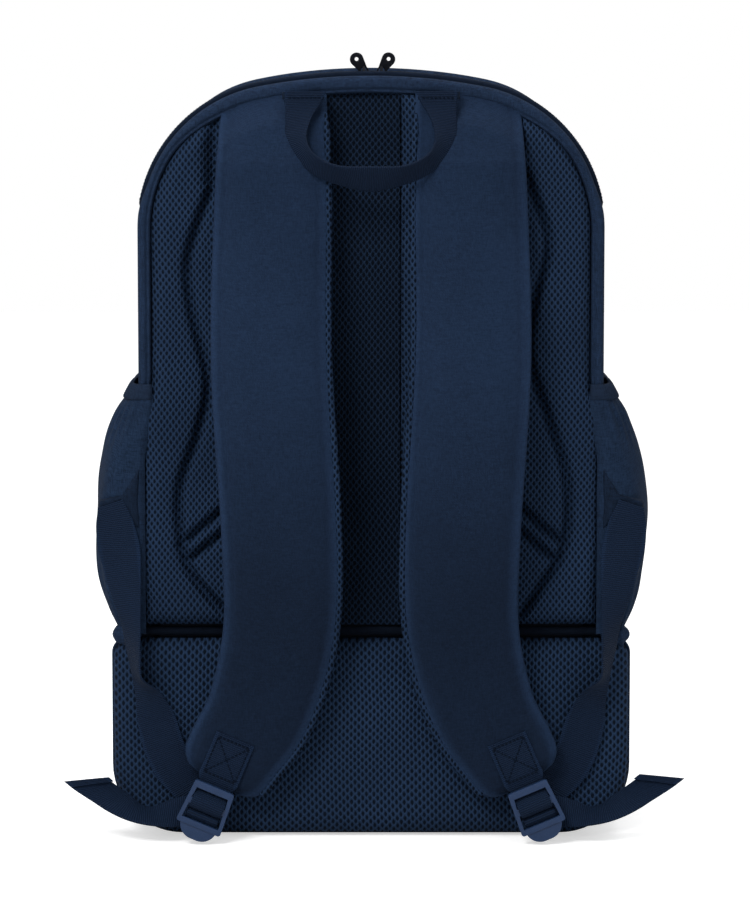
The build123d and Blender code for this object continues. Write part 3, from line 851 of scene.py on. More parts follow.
def main_shell():
    """Rows round the gusset and front from waist to hinge, then two side flaps that end at the zip's line."""
    t = np.linspace(0, 1, 70)
    rows = []
    for z in np.linspace(FLOOR_Z - 2, HINGE_Z, 72):
        inset, depth = shell_profile(t * reach_of(np.array(BACK_Y)))
        side = np.stack([inset - HALF, depth, np.full_like(t, z)], -1)[::-1]
        half = HALF - GUSSET_IN - FRONT_ROUND
        flat = np.linspace(-half, half, 60)[1:-1]
        front = np.stack([flat, np.full_like(flat, PACK_FRONT), np.full_like(flat, z)], -1)
        rows.append(np.vstack([side, front, (side * [-1, 1, 1])[::-1]]))
    grid = np.array(rows)
    fade = ramp(grid[..., 2], FLOOR_Z, FLOOR_Z + 30) * (1 - ramp(grid[..., 2], HINGE_Z - 25, HINGE_Z))
    fade = fade * ramp(grid[..., 1], BACK_Y, -50)
    grid = grid * (1 - fade[..., None]) + cloth_ripple(grid, 1.1, 2.0) * fade[..., None]
    pieces = [(grid.reshape(-1, 3), quads(*grid.shape[:2]))]
    for mirror in (1, -1):
        patch = []
        for z in np.linspace(HINGE_Z, ZIP_CORNER_Z - 0.5, 30):
            reach = reach_of(np.array(BACK_Y))
            start = reach_of(cut_depth(np.array(z)) - 0.4)
            inset, depth = shell_profile(start + t * (reach - start))
            patch.append(np.stack([(inset - HALF) * mirror, depth, np.full_like(t, z)], -1))
        patch = np.array(patch)
        pieces.append((patch.reshape(-1, 3), quads(*patch.shape[:2])))
    offset = 0
    points, faces = [], []
    for p, f in pieces:
        points.append(p)
        faces.append(f + offset)
        offset += len(p)
    piece = build("pack_shell", np.vstack(points), np.vstack(faces), [PACK_CLOTH, LINING])
    thicken(piece, 2.0, 1)
    return piece


def lid_shell():
    """A fan from the hinge's middle over the front face, then round the corner and back to the zip."""
    base, out, _ = arch(HINGE_Z, 240)
    edge = base - out * (GUSSET_IN + FRONT_ROUND)
    rows = []
    for k in np.linspace(0, 1, 44)[1:]:
        flat = np.array([0.0, HINGE_Z]) + (edge - [0.0, HINGE_Z]) * k
        bulge = 2.0 * np.sin(pi * k) * ramp(flat[:, 1], HINGE_Z, HINGE_Z + 40)
        rows.append(np.stack([flat[:, 0], PACK_FRONT + bulge, flat[:, 1]], -1))
    end_depth = np.where(base[:, 1] > ZIP_CORNER_Z, ZIP_Y + 2.5, cut_depth(base[:, 1]) + 0.4)
    end_depth = np.minimum(end_depth, PACK_FRONT)
    reach = reach_of(end_depth)
    for t in np.linspace(0, 1, 66)[1:]:
        inset, depth = shell_profile(t * reach)
        flare = (6.2 + 3.6 * ramp(base[:, 1], 452, 486)) * (1 - ramp(depth, -45, 58))
        flare = flare * ramp(base[:, 1], 400, 426) * (0.1 + 0.9 * ramp(depth, -71, -62))
        flat = base - out * (inset - flare)[:, None]
        rows.append(np.stack([flat[:, 0], depth, flat[:, 1]], -1))
    grid = np.array(rows)
    pole = np.array([[0.0, PACK_FRONT, HINGE_Z]])
    count = grid.shape[1]
    ripple_fade = ramp(grid[..., 1], ZIP_Y, -45) * ramp(grid[..., 2], HINGE_Z, HINGE_Z + 25)
    grid = grid * (1 - ripple_fade[..., None]) + cloth_ripple(grid, 0.9, 6.0) * ripple_fade[..., None]
    faces = quads(*grid.shape[:2]) + 1
    fan = [[0, 1 + j, 2 + j] for j in range(count - 1)]
    piece = build("lid_cloth", np.vstack([pole, grid.reshape(-1, 3)]), faces, [PACK_CLOTH, LINING], fan)
    thicken(piece, 2.0, 1)
    return piece


def resampled(loop, count):
    """A closed loop spaced evenly by length, from the same first point."""
    closed = np.vstack([loop, loop[:1]])
    run = length_along(closed)
    at = np.linspace(0, run[-1], count, endpoint=False)
    return at_lengths(closed, run, at)


def pillow(name, loop, front, back, roll, finish, crown=0.0, wave=0.0, outward=-1):
    """A flat cloth patch: its rim rolls over between two depths, and its face swells or ripples a little."""
    loop = np.asarray(loop, float)
    girth = np.hypot(*(np.roll(loop, -1, 0) - loop).T).sum()
    loop = resampled(loop, max(60, int(girth / 2.5)))
    centre = loop.mean(0)
    reach = np.hypot(*(loop - centre).T).mean()
    rings = []
    for k in (0.0, 0.15, 0.35, 0.6, 0.8, 1.0):
        turn = k * pi / 2
        ring = loop - unit(loop - centre) * roll * (1 - cos(turn))
        depth = back + (front - back) * (0.3 + 0.7 * sin(turn))
        rings.append(np.stack([ring[:, 0], np.full(len(ring), depth), ring[:, 1]], -1))
    rings.insert(0, np.stack([loop[:, 0], np.full(len(loop), back), loop[:, 1]], -1))
    face = loop - unit(loop - centre) * roll
    for k in np.linspace(0, 1, max(6, int(reach / 5)))[1:-1]:
        ring = face + (centre - face) * k
        ripple = wave * soft_noise(*ring.T, 19.0, len(name)) * ramp(k, 0, 0.15)
        rise = crown * ramp(k * reach, 0, 0.5 * reach) + ripple
        rings.append(np.stack([ring[:, 0], front + outward * rise, ring[:, 1]], -1))
    points, faces, caps = stack(rings)
    return build(name, points, faces, [finish], caps)


# ---------------------------------------------------------------- shoulder straps
STRAP_LINE = [(-61, 472, 33), (-62, 405, 36), (-63, 311, 37), (-57, 209, 37), (-57, 140, 36)]
STRAP_LINE += [(-69, 88, 34), (-86, 58, 31), (-98, 38, 28)]


def strap_bulge(z):
    """How far the strap stands off the back: t^2 (3 - 2 t) up to the middle height and down again."""
    middle = (STRAP_SPLIT_Z + STRAP_FLAT_Z) / 2
    rise = np.where(z < middle, ramp(z, STRAP_FLAT_Z, middle), 1 - ramp(z, middle, STRAP_SPLIT_Z))
    return STRAP_BULGE * rise


def shoulder_strap(side, mirror):
    """A padded strap: the section |cos|^0.7 by |sin|^0.6 carried down its curve, tucked in at the top.

    The lower end is rounded by 13 mm, and the outer face has a crown, a sewn dent
    0.8 exp(-((d - 6.5) / 1.3)^2) beside its edge, and a slack ripple.
    """
    line = even_line(STRAP_LINE, 330)
    run = length_along(line[:, :2])
    left = run[-1] - run
    ahead = unit(np.gradient(line[:, :2], axis=0))
    aside = np.stack([ahead[:, 1], -ahead[:, 0]], -1)
    short = STRAP_END_ROUND - np.clip(left, 0, STRAP_END_ROUND)
    half = line[:, 2] - STRAP_END_ROUND + np.sqrt(np.maximum(STRAP_END_ROUND**2 - short**2, 0.5))
    turn = np.linspace(0, 2 * pi, 72, endpoint=False)
    c, s = np.cos(turn), np.sin(turn)
    u = np.sign(c) * abs(c) ** 0.7
    h = np.sign(s) * abs(s) ** 0.6
    x = line[:, 0][:, None] + aside[:, 0][:, None] * half[:, None] * u
    z = line[:, 1][:, None] + aside[:, 1][:, None] * half[:, None] * u
    lift = np.clip((z - STRAP_SPREAD_Z) / (STRAP_LINE[0][1] - STRAP_SPREAD_Z), 0, 1)
    trial_z = np.linspace(420, 490, 300)
    depths = arch_depth(x[0][:, None], trial_z[None])
    top_z = trial_z[np.argmin(abs(depths - STRAP_TUCK), axis=1)]
    z = np.where(z > STRAP_SPREAD_Z, STRAP_SPREAD_Z + (top_z[None] - STRAP_SPREAD_Z) * lift, z)
    front = np.interp(z, [403, 430, 463, 482], [-113, -113, -101.5, -99]) - strap_bulge(z)
    back = np.interp(z, [403, 430, 452, 482], [-101, -101, -96.5, -93]) - strap_bulge(z)
    tuck = 1 - np.clip((arch_depth(x, z) - STRAP_TUCK) / 22.0, 0, 1)
    front = front + (BAND_LOW[1] + 5 - front) * tuck**1.4
    back = np.maximum(back, front + 3.5)
    middle, thick = (front + back) / 2, (back - front) / 2
    edge = (1 - abs(u)) * half[:, None]
    crown = 1.2 * ramp(edge, 4, 22) * (s < 0)
    dent = 0.8 * np.exp(-(((edge - 6.5) / 1.3) ** 2)) * (s < 0)
    wave = 0.35 * soft_noise(x, z, 15.0, 2.0) * (s < 0)
    end_roll = np.sqrt(np.clip(left / 7.0, 0.03, 1))[:, None]
    y = middle + h * thick * end_roll - crown + dent + wave
    rows, columns = x.shape
    points = np.stack([x * -mirror, y, z], -1)
    # Painted light in the strap's tone: painted shade darkens the strap's middle towards its lower part, and
    # a painted highlight lightens its rolled edges; the small noise is the cloth's own uneven tone.
    painted_shade = 1 - 0.36 * ramp(edge, 2, 10) * (1 - ramp(z, 120, 330))
    painted_light = 0.32 * np.exp(-(((edge - 1.6) / 2.2) ** 2))
    tone = (painted_shade + painted_light) * (1 + 0.06 * soft_noise(x, z, 44.0, 5.0))
    faces = quads(rows, columns, close_columns=True)
    column = np.tile((np.arange(columns) + 0.5) * 2 * pi / columns, rows - 1)
    on_back = (np.sin(column) > 0.02).astype(int)
    finishes = [STRAP_CLOTH, BACK_MESH]
    marks = {"strap_painted_light": tone}
    piece = build(side + "_shoulder_strap", points, faces, finishes, tube_ends(rows, columns), on_back, marks)
    joint_x = 62 * mirror
    joint = (side + "_strap", (joint_x, STRAP_Y, 412), (joint_x, STRAP_Y, 394))
    place(piece, "pack", [side + "_strap_pad", side + "_strap_root"], joint)
    sign_in = np.sign(aside[0, 0])
    edge_line = line[:, :2] + aside * ((half - 0.6) * sign_in)[:, None]
    depth = np.interp(edge_line[:, 1], [403, 430, 463], [-107, -107, -99]) - strap_bulge(edge_line[:, 1])
    path = np.stack([edge_line[:, 0] * -mirror, depth, edge_line[:, 1]], -1)
    path = path[(path[:, 2] < 462) & (left > 8)]
    radius = 2.4 * np.sqrt(np.clip((462 - path[:, 2]) / 14.0, 0.04, 1))
    tube(side + "_strap_mesh_binding", path, radius, BACK_MESH, "pack", [], 1.7, 12, joint)
    return piece


# ---------------------------------------------------------------- webbing
def ribbon(name, edge_a, edge_b, count, thick=1.6, mirror=-1, finish=WEBBING):
    """Flat webbing between two edge lines, marked by length and width.

    Its section is |cos|^0.6 of half the width by |sin|^0.35 of half the thickness.
    """
    both = even_line(np.hstack([edge_a, edge_b]).astype(float), count)
    a, b = both[:, :3], both[:, 3:]
    centre = (a + b) / 2
    run = length_along(centre)
    across = b - a
    width = np.linalg.norm(across, axis=1)
    across = unit(across)
    normal = unit(np.cross(unit(np.gradient(centre, axis=0)), across))
    normal *= np.where(normal[:, 1:2] > 0, -1, 1) if abs(normal[:, 1]).min() > 0.25 else 1
    turn = np.linspace(0, 2 * pi, 36, endpoint=False)
    c, s = np.cos(turn), np.sin(turn)
    u = np.sign(c) * abs(c) ** 0.6 / 2 * width[:, None]
    h = np.sign(s) * abs(s) ** 0.35 * thick / 2
    points = centre[:, None] + across[:, None] * u[..., None] + normal[:, None] * h[None, :, None]
    points[..., 0] *= -mirror
    rows, columns = points.shape[:2]
    faces = quads(rows, columns, close_columns=True)
    marks = {"along": np.repeat(run, columns), "across": u.ravel()}
    return build(name, points, faces, [finish], tube_ends(rows, columns), marks=marks)


LOWER_WEB = [
    (-173.0, -95.6, 212, -157.0, -95.9, 217.5),
    (-174.4, -95.4, 200, -150.5, -96.0, 203),
    (-173.4, -95.6, 186, -146.3, -96.8, 187),
    (-170.4, -95.8, 175, -145.8, -99, 172),
    (-165, -97, 157, -145.6, -103.5, 156),
    (-158.5, -97.3, 138, -145.6, -110, 137),
    (-155.5, -96.6, 122, -145.6, -115, 121),
    (-152.5, -96.4, 108, -144.5, -116, 106),
    (-149.8, -96.8, 91, -134, -107, 96),
    (-148.3, -97.4, 72, -125, -99.2, 80),
    (-143.5, -97.4, 53, -119, -98.2, 62),
    (-136, -97.4, 38, -112, -97.8, 50),
    (-126, -97.4, 27, -104, -97.4, 40),
    (-115, -98, 16, -96, -98, 32),
]
TAIL_WEB = [
    (-108, -104.8, 9, -108, -101.2, 29),
    (-118, -108, 9.5, -119, -101.2, 28),
    (-126, -112, 10, -129, -100.5, 25),
    (-136, -114, 11, -139, -99, 20.5),
    (-146.5, -113, 12.4, -146, -98, 21.5),
    (-156.8, -110.5, 14.9, -150.5, -98, 25),
    (-167, -108, 19.2, -154.5, -98.2, 28.5),
    (-176.5, -106, 24.8, -158.6, -98.8, 31.5),
    (-188, -104.5, 32, -164.2, -99.6, 36),
    (-195, -103, 37.2, -167.4, -100.6, 39.2),
]


def halves(stations):
    """The two edge lines of a row of stations."""
    table = np.array(stations, float)
    return table[:, :3], table[:, 3:]


def lower_webbing(side, mirror):
    """The webbing sewn under the anchor tab, hanging down the side and turned in behind the strap."""
    piece = ribbon(side + "_lower_strap_webbing", *halves(LOWER_WEB), 260, mirror=mirror)
    return place(piece, "pack", [side + "_lower_webbing"])


def tail(side, mirror):
    """The loose webbing end past the lock, twisted flat, with its tip folded and sewn."""
    a, b = halves(TAIL_WEB)
    if mirror > 0:
        grow = np.linspace(0, 1, len(a))[:, None] ** 2 * [4.0, 0, -2.0]
        a, b = a - grow, b - grow
    piece = ribbon(side + "_loose_webbing_end", a, b, 140, mirror=mirror)
    place(piece, side + "_tail", [side + "_webbing_tail"])
    tip_a, tip_b = a[-2:] + [-0.4, -0.9, 0.6], b[-2:] + [0.6, -0.9, 0.9]
    tip_a[0] += (tip_a[1] - tip_a[0]) * 0.35
    tip_b[0] += (tip_b[1] - tip_b[0]) * 0.1
    fold = ribbon(side + "_folded_tip", tip_a, tip_b, 40, thick=3.2, mirror=mirror)
    return place(fold, side + "_tail")


LOCK = np.array([-104.2, -116.5, 23.5])
LOCK_UP = np.array([sin(radians(23)), 0, cos(radians(23))])
LOCK_ASIDE = np.array([cos(radians(23)), 0, -sin(radians(23))])


def lock_ribbon(name, steps, mirror):
    """Webbing across the lock's axis, through heights and depths measured from its middle."""
    path = np.array([LOCK + LOCK_UP * up + [0, depth - LOCK[1], 0] for up, depth in steps])
    half = 13.0 - 2.4 * (1 - ramp(np.array(steps)[:, :1], 13, 19))
    return ribbon(name, path - LOCK_ASIDE * half, path + LOCK_ASIDE * half, 110, mirror=mirror)


def on_lock(points):
    """Sideways and upward places on the lock's plane, as x and z."""
    points = np.asarray(points, float)
    return LOCK[[0, 2]] + points[:, :1] * LOCK_ASIDE[[0, 2]] + points[:, 1:] * LOCK_UP[[0, 2]]


def stitches(name, start, end, depth, mirror, body):
    """A row of thread stitches: short beads with drawn-in ends, laid end to end between two points."""
    start, end = np.asarray(start, float), np.asarray(end, float)
    places = start + (end - start) * np.linspace(0, 1, 5)[:, None]
    path = even_line(np.hstack([places, np.full((5, 1), depth)]), 200)
    run = length_along(path[:, :2])
    starts = np.arange(0.4, run[-1] - STITCH_PITCH * 0.6, STITCH_PITCH)
    shells = []
    turn = np.linspace(0, 2 * pi, 6, endpoint=False)
    for share, size in ((0.0, 0.25), (0.18, 0.42), (0.52, 0.42), (0.7, 0.25)):
        at = starts + share * STITCH_PITCH
        x, z, y = (np.interp(at, run, path[:, k]) for k in range(3))
        dx, dz = (np.interp(at, run, np.gradient(path[:, k], run)) for k in range(2))
        ring_x = x[:, None] - dz[:, None] * np.cos(turn) * size
        ring_z = z[:, None] + dx[:, None] * np.cos(turn) * size
        ring_y = y[:, None] + np.sin(turn) * size * (1.0 if 0.1 < share < 0.6 else 0.4)
        shells.append(np.stack([ring_x * -mirror, ring_y, ring_z], -1))
    return place(blocks(name, shells, THREAD), body)


def mirrored(loop, mirror):
    """A left-hand loop of x and z, on the side that is asked for and still running the same way."""
    loop = np.array(loop) * [-mirror, 1]
    return loop if mirror < 0 else loop[::-1]


def strap_patch(side, mirror):
    """The webbing sewn on the strap's end and led over the lock's top bar, with its box of stitches."""
    steps = [(47.5, -114.6), (40, -115), (26, -115), (19, -114.6), (14, -113.6), (10.5, -113.8)]
    steps += [(7.2, -116.4), (4.2, -119.0), (1.2, -119.6), (-1.6, -118.4), (-3.0, -115.6), (-2.2, -112.6)]
    piece = lock_ribbon(side + "_patch_webbing", steps, mirror)
    place(piece, side + "_strap", [side + "_strap_end_webbing"])
    steps = [(-2.0, -111.2), (-4.2, -114.0), (-6.4, -116.6), (-9.0, -115.4), (-12.0, -112.8), (-17.0, -111.4)]
    place(lock_ribbon(side + "_lock_webbing", steps, mirror), side + "_lock")
    corners = [(-10.5, 45), (10.5, 45), (10.5, 21), (-10.5, 21)]
    for i, (a, b) in enumerate(((0, 1), (1, 2), (2, 3), (3, 0), (0, 2), (1, 3))):
        start, end = on_lock([corners[a], corners[b]])
        stitches(f"{side}_patch_stitch_{i}", start, end, -115.95, mirror, side + "_strap")
    return piece


def haul_loop():
    """The grab handle: webbing bent round in its own plane, its inner edge standing out at the bottom."""
    outer = [(-54, -103.6, 474.5), (-53.4, -104, 466), (-53.3, -105.5, 456), (-53, -107.5, 446)]
    outer += [(-46, -111.5, 433), (-34.7, -114.5, 422.5), (-16.5, -116.4, 415.5), (0, -117, 412.5)]
    inner = [(-27.8, -103.6, 474.5), (-31.8, -104.4, 466.5), (-36.8, -108, 458), (-39.8, -113, 448)]
    inner += [(-38.4, -118, 440), (-32.6, -123.5, 433.5), (-19.5, -128, 428.3), (0, -129, 427.8)]
    flip = [-1, 1, 1]
    outer = np.vstack([outer, (np.array(outer) * flip)[::-1][1:]])
    inner = np.vstack([inner, (np.array(inner) * flip)[::-1][1:]])
    piece = ribbon("haul_loop_webbing", outer, inner, 320, thick=2.2, finish=HANDLE_WEB)
    joint = ("haul_loop", (0, -104.8, 470), (0, -106.5, 459))
    place(piece, "pack", ["haul_loop"], joint)
    box = [(-55.5, 469.4), (-29.5, 469.4), (-29.5, 474.2), (-55.5, 474.2)]
    for side, mirror in SIDES:
        stitches(side + "_handle_stitch", (-52, 470.5), (-31, 470.5), -105.4, mirror, "pack")
        loop = mirrored(box, mirror)
        end = pillow(side + "_handle_end", loop, -104.2, -96.4, 1.2, WEB_END)
        place(end, "pack", [side + "_haul_loop_end"])
    return piece


def anchor_tab(side, mirror):
    """The folded cloth triangle that holds the lower webbing to the back panel's edge."""
    loop = [(-146.5, 237.5), (-157.5, 221.5), (-173.6, 215.5), (-173.4, 208)]
    loop += [(-160, 205.5), (-151.5, 201), (-146.5, 197.5)]
    piece = pillow(side + "_anchor_cloth", mirrored(loop, mirror), -94.9, -82.0, 2.4, ANCHOR_CLOTH, 0.5, 0.4)
    place(piece, "pack", [side + "_webbing_anchor_tab"])
    stitches(side + "_anchor_stitch", (-158, 217.5), (-171, 212.5), -95.5, mirror, "pack")
    return piece


# ---------------------------------------------------------------- side pockets
POCKET_WIDE = [(131, 163), (145, 170), (164, 176), (190, 179.5), (221, 178)]
POCKET_WIDE += [(249, 173), (268, 166), (281, 158.5), (290, 153.5)]
POCKET_GIRTH = 190.0
POCKET_HEM_Z = 285.3
GUSSET_X = HALF - GUSSET_IN
POCKET_BACK = BAND_LOW[1] - 1.8
POCKET_FRONT_Y = box_mm("left_side_pocket")[1][1]


def pocket_path(z, turn, proud=0.0):
    """A rounded box at a turn from 0 to pi: x = start + wide sin^0.46, and y = middle - half cos^0.5."""
    curve = smooth_line(POCKET_WIDE, 240)
    start = GUSSET_X + 0.4 + (2.6 - 5.4 * ramp(z, 240, 276)) * (1 - ramp(turn, 0.4, 2.0))
    wide = np.interp(z, *curve.T) - start + proud
    middle, half = (POCKET_BACK + POCKET_FRONT_Y) / 2, (POCKET_FRONT_Y - POCKET_BACK) / 2 + proud
    x = start + wide * np.sin(turn) ** 0.46
    y = middle - half * np.sign(np.cos(turn)) * abs(np.cos(turn)) ** 0.5
    return x, y


def side_pocket(side, mirror):
    """Cloth gathered into the bottom seam: pleats sin(run / 3.1 + ...) that fade upwards, and a hem above."""
    turn = (np.linspace(0, 1, 150) * pi)[None, :]
    z = np.concatenate([[131.0, 131.4], np.linspace(132.5, 284.0, 92)])[:, None]
    x, y = pocket_path(z, turn)
    x[0] = GUSSET_X + 2.4 + (x[0] - GUSSET_X - 2.4) * 0.1
    run = turn / pi * POCKET_GIRTH
    pleat = np.sin(run / 3.1 + 1.4 * np.sin(run / 17.0)) * (1 - ramp(z, 132, 232)) ** 1.5
    pleat = pleat + 0.95 * np.sin(run / 2.4 + 0.9) * ramp(z, 236, 276) ** 1.5 * (1 - 0.8 * ramp(z, 270, 281))
    slack = 1.8 * soft_noise(run, z, 26.0, mirror) * ramp(z, 136, 170) * (1 - ramp(z, 255, 280))
    push = (1.25 * pleat + slack) * np.sin(turn) ** 0.3
    push[0] = 0
    facing = np.stack([np.sin(turn) ** 1.2 + 0 * x, 0 * x - np.cos(turn)])
    facing = facing / np.maximum(np.hypot(*facing), 1e-6)
    x = np.maximum(x + facing[0] * push - 0.8, GUSSET_X - 3.2)
    y = y + facing[1] * push
    points = np.stack([x * mirror, y, z + 0 * x], -1)
    piece = build(side + "_stretch_pocket", points, quads(*x.shape), [PACK_CLOTH, LINING])
    thicken(piece, 1.4, 1)
    place(piece, "pack", [side + "_side_pocket"])
    roll = np.linspace(0, 2 * pi, 14, endpoint=False)
    path_turn = np.linspace(0, 1, 220) * pi
    shells = []
    for angle in roll:
        proud = -0.4 + 1.3 * np.sign(np.cos(angle)) * abs(np.cos(angle)) ** 0.6
        rise = POCKET_HEM_Z + 5.0 * np.sign(np.sin(angle)) * abs(np.sin(angle)) ** 0.5
        px, py = pocket_path(rise, path_turn, proud)
        gather = 0.55 * np.sin(path_turn * 64) * np.sin(path_turn)
        shells.append(np.stack([(px + gather) * mirror, py, np.full_like(px, rise)], -1))
    grid = np.stack(shells, 1)
    rows, columns = grid.shape[:2]
    faces = quads(rows, columns, close_columns=True)
    hem = build(side + "_elastic_hem", grid, faces, [HEM_TAPE], tube_ends(rows, columns))
    return place(hem, "pack", [side + "_pocket_hem"])


# ---------------------------------------------------------------- lower section and front pocket
def holed_box(name, outer, hole, y_back, y_front, round_front, wall, bow, floor=0.0):
    """A bag section: rings from the back edge round the front corner and in to the opening's edge.

    Round the corner the inset is R (1 - cos turn) and the depth y_front - R (1 - sin turn); the sides
    bow out by bow sin(pi t) and ripple by noise over 33 mm.
    """
    count = 320
    rim = resampled(outer, count)
    edge = resampled(hole, count)
    facing = loop_normals(rim)
    rings = []

    def add_ring(flat, depth):
        rings.append(np.stack([flat[:, 0], np.full(count, depth), flat[:, 1]], -1))

    for t in np.linspace(0, 1, 40):
        y = y_back + (y_front - round_front - y_back) * t
        wave = 0.8 * soft_noise(rim[:, 0] + y, rim[:, 1] - y, 33.0, len(name)) * ramp(t, 0, 0.2)
        ring = rim + facing * (bow * np.sin(pi * t) + wave)[:, None] - facing * 1.2
        ring[:, 1] = np.maximum(ring[:, 1], floor)
        add_ring(ring, y)
    corner = rim - facing * 1.2
    for k in np.linspace(0, 1, 9)[1:]:
        turn = k * pi / 2
        ring = corner - facing * round_front * (1 - cos(turn))
        ring[:, 1] = np.maximum(ring[:, 1], floor)
        add_ring(ring, y_front - round_front + round_front * sin(turn))
    inner = rings[-1][:, [0, 2]]
    for k in np.linspace(0, 1, 6)[1:]:
        add_ring(inner + (edge - inner) * k, y_front)
    grid = np.array(rings)
    piece = build(name, grid, quads(*grid.shape[:2], close_columns=True), [PACK_CLOTH, LINING])
    thicken(piece, wall, 1)
    return piece


def framed_zip(name, loop, y, node, low_z):
    """The zip round an opening: a woven tape ring, with coil turns along its sides and top."""
    loop = resampled(loop, len(loop) * 2)
    facing = loop_normals(loop)
    section = [(-2.6, -0.75), (2.6, -0.75), (2.9, 0.0), (2.6, 0.75), (0.6, 0.85)]
    section += [(0.0, 0.35), (-0.6, 0.85), (-2.6, 0.75), (-2.9, 0.0)]
    strips = []
    for a, b in section:
        flat = loop + facing * a
        strips.append(np.stack([flat[:, 0], np.full(len(loop), y + b), flat[:, 1]], -1))
    grid = np.stack(strips, 1)
    piece = build(name + "_tape", grid, quads(*grid.shape[:2], True, True), [ZIP_TAPE])
    place(piece, "pack", [node])
    girth = np.hypot(*(np.roll(loop, -1, 0) - loop).T).sum()
    even = resampled(loop, int(girth / COIL_PITCH))
    out = loop_normals(even)
    keep = even[:, 1] > low_z
    even, out = even[keep], out[keep]
    along = np.stack([out[:, 1], -out[:, 0]], -1)
    ring = [(-0.55, -0.5), (0.55, -0.5), (0.55, 0.35), (-0.55, 0.35)]
    shells = []
    for reach, size in ((-2.0, 0.6), (-1.2, 1.0), (1.2, 1.0), (2.0, 0.6)):
        corners = []
        for a, b in ring:
            flat = even + out * reach + along * a * size
            corners.append(np.stack([flat[:, 0], np.full(len(flat), y + 0.95 + b * size), flat[:, 1]], -1))
        shells.append(np.stack(corners, 1))
    return place(blocks(name + "_coil", shells, ZIP_COIL), "pack")


def shoe_section():
    """The lower compartment's cloth shell, its zip, its panel and the rolled edge at the back."""
    outer = rounded_box(LOWER_HALF, 0.0, WAIST_Z, 45.0, 10.0)
    hole = rounded_box(146.0, 16.0, 110.0, 32.0, 10.0)
    shell = holed_box("shoe_section_cloth", outer, hole, BACK_Y, SHOE_Y + 1.8, 12.0, 1.8, 1.2)
    place(shell, "pack", ["shoe_shell", "shoe_front_frame"])
    zip_loop = rounded_box(146.6, 15.2, 110.8, 33.0, 11.0)
    framed_zip("shoe_zip", zip_loop, 89.2, "shoe_zip_tape", 30.0)
    flap = rounded_box(147.6, 14.4, 111.6, 34.0, 12.0)
    panel = pillow("shoe_panel", flap, 92.4, 90.6, 1.4, PACK_CLOTH, 1.2, 0.7, 1)
    place(panel, "shoe_flap", ["shoe_flap"])
    rim = rounded_box(LOWER_HALF - 0.9, 0.9, WAIST_Z - 1.6, 44.0, 9.0, 2.0)
    x, z = rim.T
    loop = np.stack([x, np.full(len(x), -80.5), z], -1)
    closed_tube("lumbar_edge_piping", loop, 0.9, EDGE_CLOTH, "pack", ["lumbar_binding"])
    wall = resampled(rim, 320)
    wall = wall - loop_normals(wall) * 0.3
    rings = [np.stack([wall[:, 0], np.full(320, y), wall[:, 1]], -1) for y in np.linspace(-80.8, -77.5, 3)]
    grid = np.array(rings)
    side = build("lumbar_side_cloth", grid, quads(*grid.shape[:2], close_columns=True), [EDGE_CLOTH])
    thicken(side, 1.0, 0)
    return place(side, "pack")


def front_pocket():
    """The pocket on the face of the bag: cloth shell, zip and panel."""
    outer = rounded_box(112.0, 138.0, 318.0, 24.0, 24.0)
    hole = rounded_box(96.0, 148.0, 304.0, 16.0, 16.0)
    shell = holed_box("front_pocket_cloth", outer, hole, PACK_FRONT + 0.3, 115.6, 9.0, 1.6, 1.0, 137.2)
    place(shell, "pack", ["front_pocket_shell"])
    zip_loop = rounded_box(96.6, 147.4, 304.6, 16.6, 16.6)
    framed_zip("front_pocket_zip", zip_loop, 116.2, "front_pocket_zip_tape", 158.0)
    flap = rounded_box(98.0, 146.4, 305.8, 18.0, 18.0)
    panel = pillow("front_pocket_panel", flap, 118.8, 117.2, 1.4, PACK_CLOTH, 1.6, 0.8, 1)
    place(panel, "pocket_flap", ["front_pocket_flap"])
    return panel


# ---------------------------------------------------------------- inside
def racket_sleeve():
    """A flat inner pocket against the back board, open at the top, standing out by 1 - |u|^10."""
    low, high = box_mm("racket_sleeve")
    u = np.linspace(-1, 1, 120)[None, :]
    z = np.linspace(low[2] + 1, high[2] - 1, 80)[:, None]
    x = (high[0] - 1.0) * u + 0 * z
    lean = 1 - abs(u) ** 10
    y = low[1] + 1.5 + (high[1] - low[1] - 3.0) * lean + 0.8 * soft_noise(x, z + 0 * x, 40.0, 3.0) * lean
    piece = build("racket_sleeve_cloth", np.stack([x, y, z + 0 * x], -1), quads(*x.shape), [LINING])
    thicken(piece, 1.2, 0)
    return place(piece, "pack", ["racket_sleeve"])


def compartment_floor():
    """The cloth floor between the main compartment and the lower section."""
    low, high = box_mm("compartment_floor")
    u = np.linspace(-1, 1, 90)[None, :]
    v = np.linspace(-1, 1, 60)[:, None]
    x = (high[0] - 0.5) * u + 0 * v
    y = (low[1] + high[1]) / 2 + (high[1] - low[1] - 1) / 2 * v + 0 * u
    corner = np.maximum(abs(u) + abs(v) - 1.86, 0) * 60
    x, y = x * (1 - corner / 150), y - np.sign(v) * corner * 0.4
    z = high[2] - 0.6 + 0.25 * soft_noise(x, y, 30.0, 1.0)
    piece = build("compartment_floor_cloth", np.stack([x, y, z], -1), quads(*x.shape), [LINING])
    thicken(piece, 1.2, 0)
    return place(piece, "pack", ["compartment_floor"])


edge_binding()
zip_half("pack_zip", -1, "pack", "body_zip_tape")
zip_half("lid_zip", 1, "lid", "lid_zip_tape")
for side, mirror in SIDES:
    back_pad(side)
    shoulder_strap(side, mirror)
    lower_webbing(side, mirror)
    tail(side, mirror)
    strap_patch(side, mirror)
    anchor_tab(side, mirror)
    side_pocket(side, mirror)
air_channel()
lumbar_pad()
waist_seam()
haul_loop()
body = main_shell()
place(body, "pack", ["main_shell"])
lid = lid_shell()
place(lid, "lid", ["lid_shell"])
shoe_section()
front_pocket()
racket_sleeve()
compartment_floor()

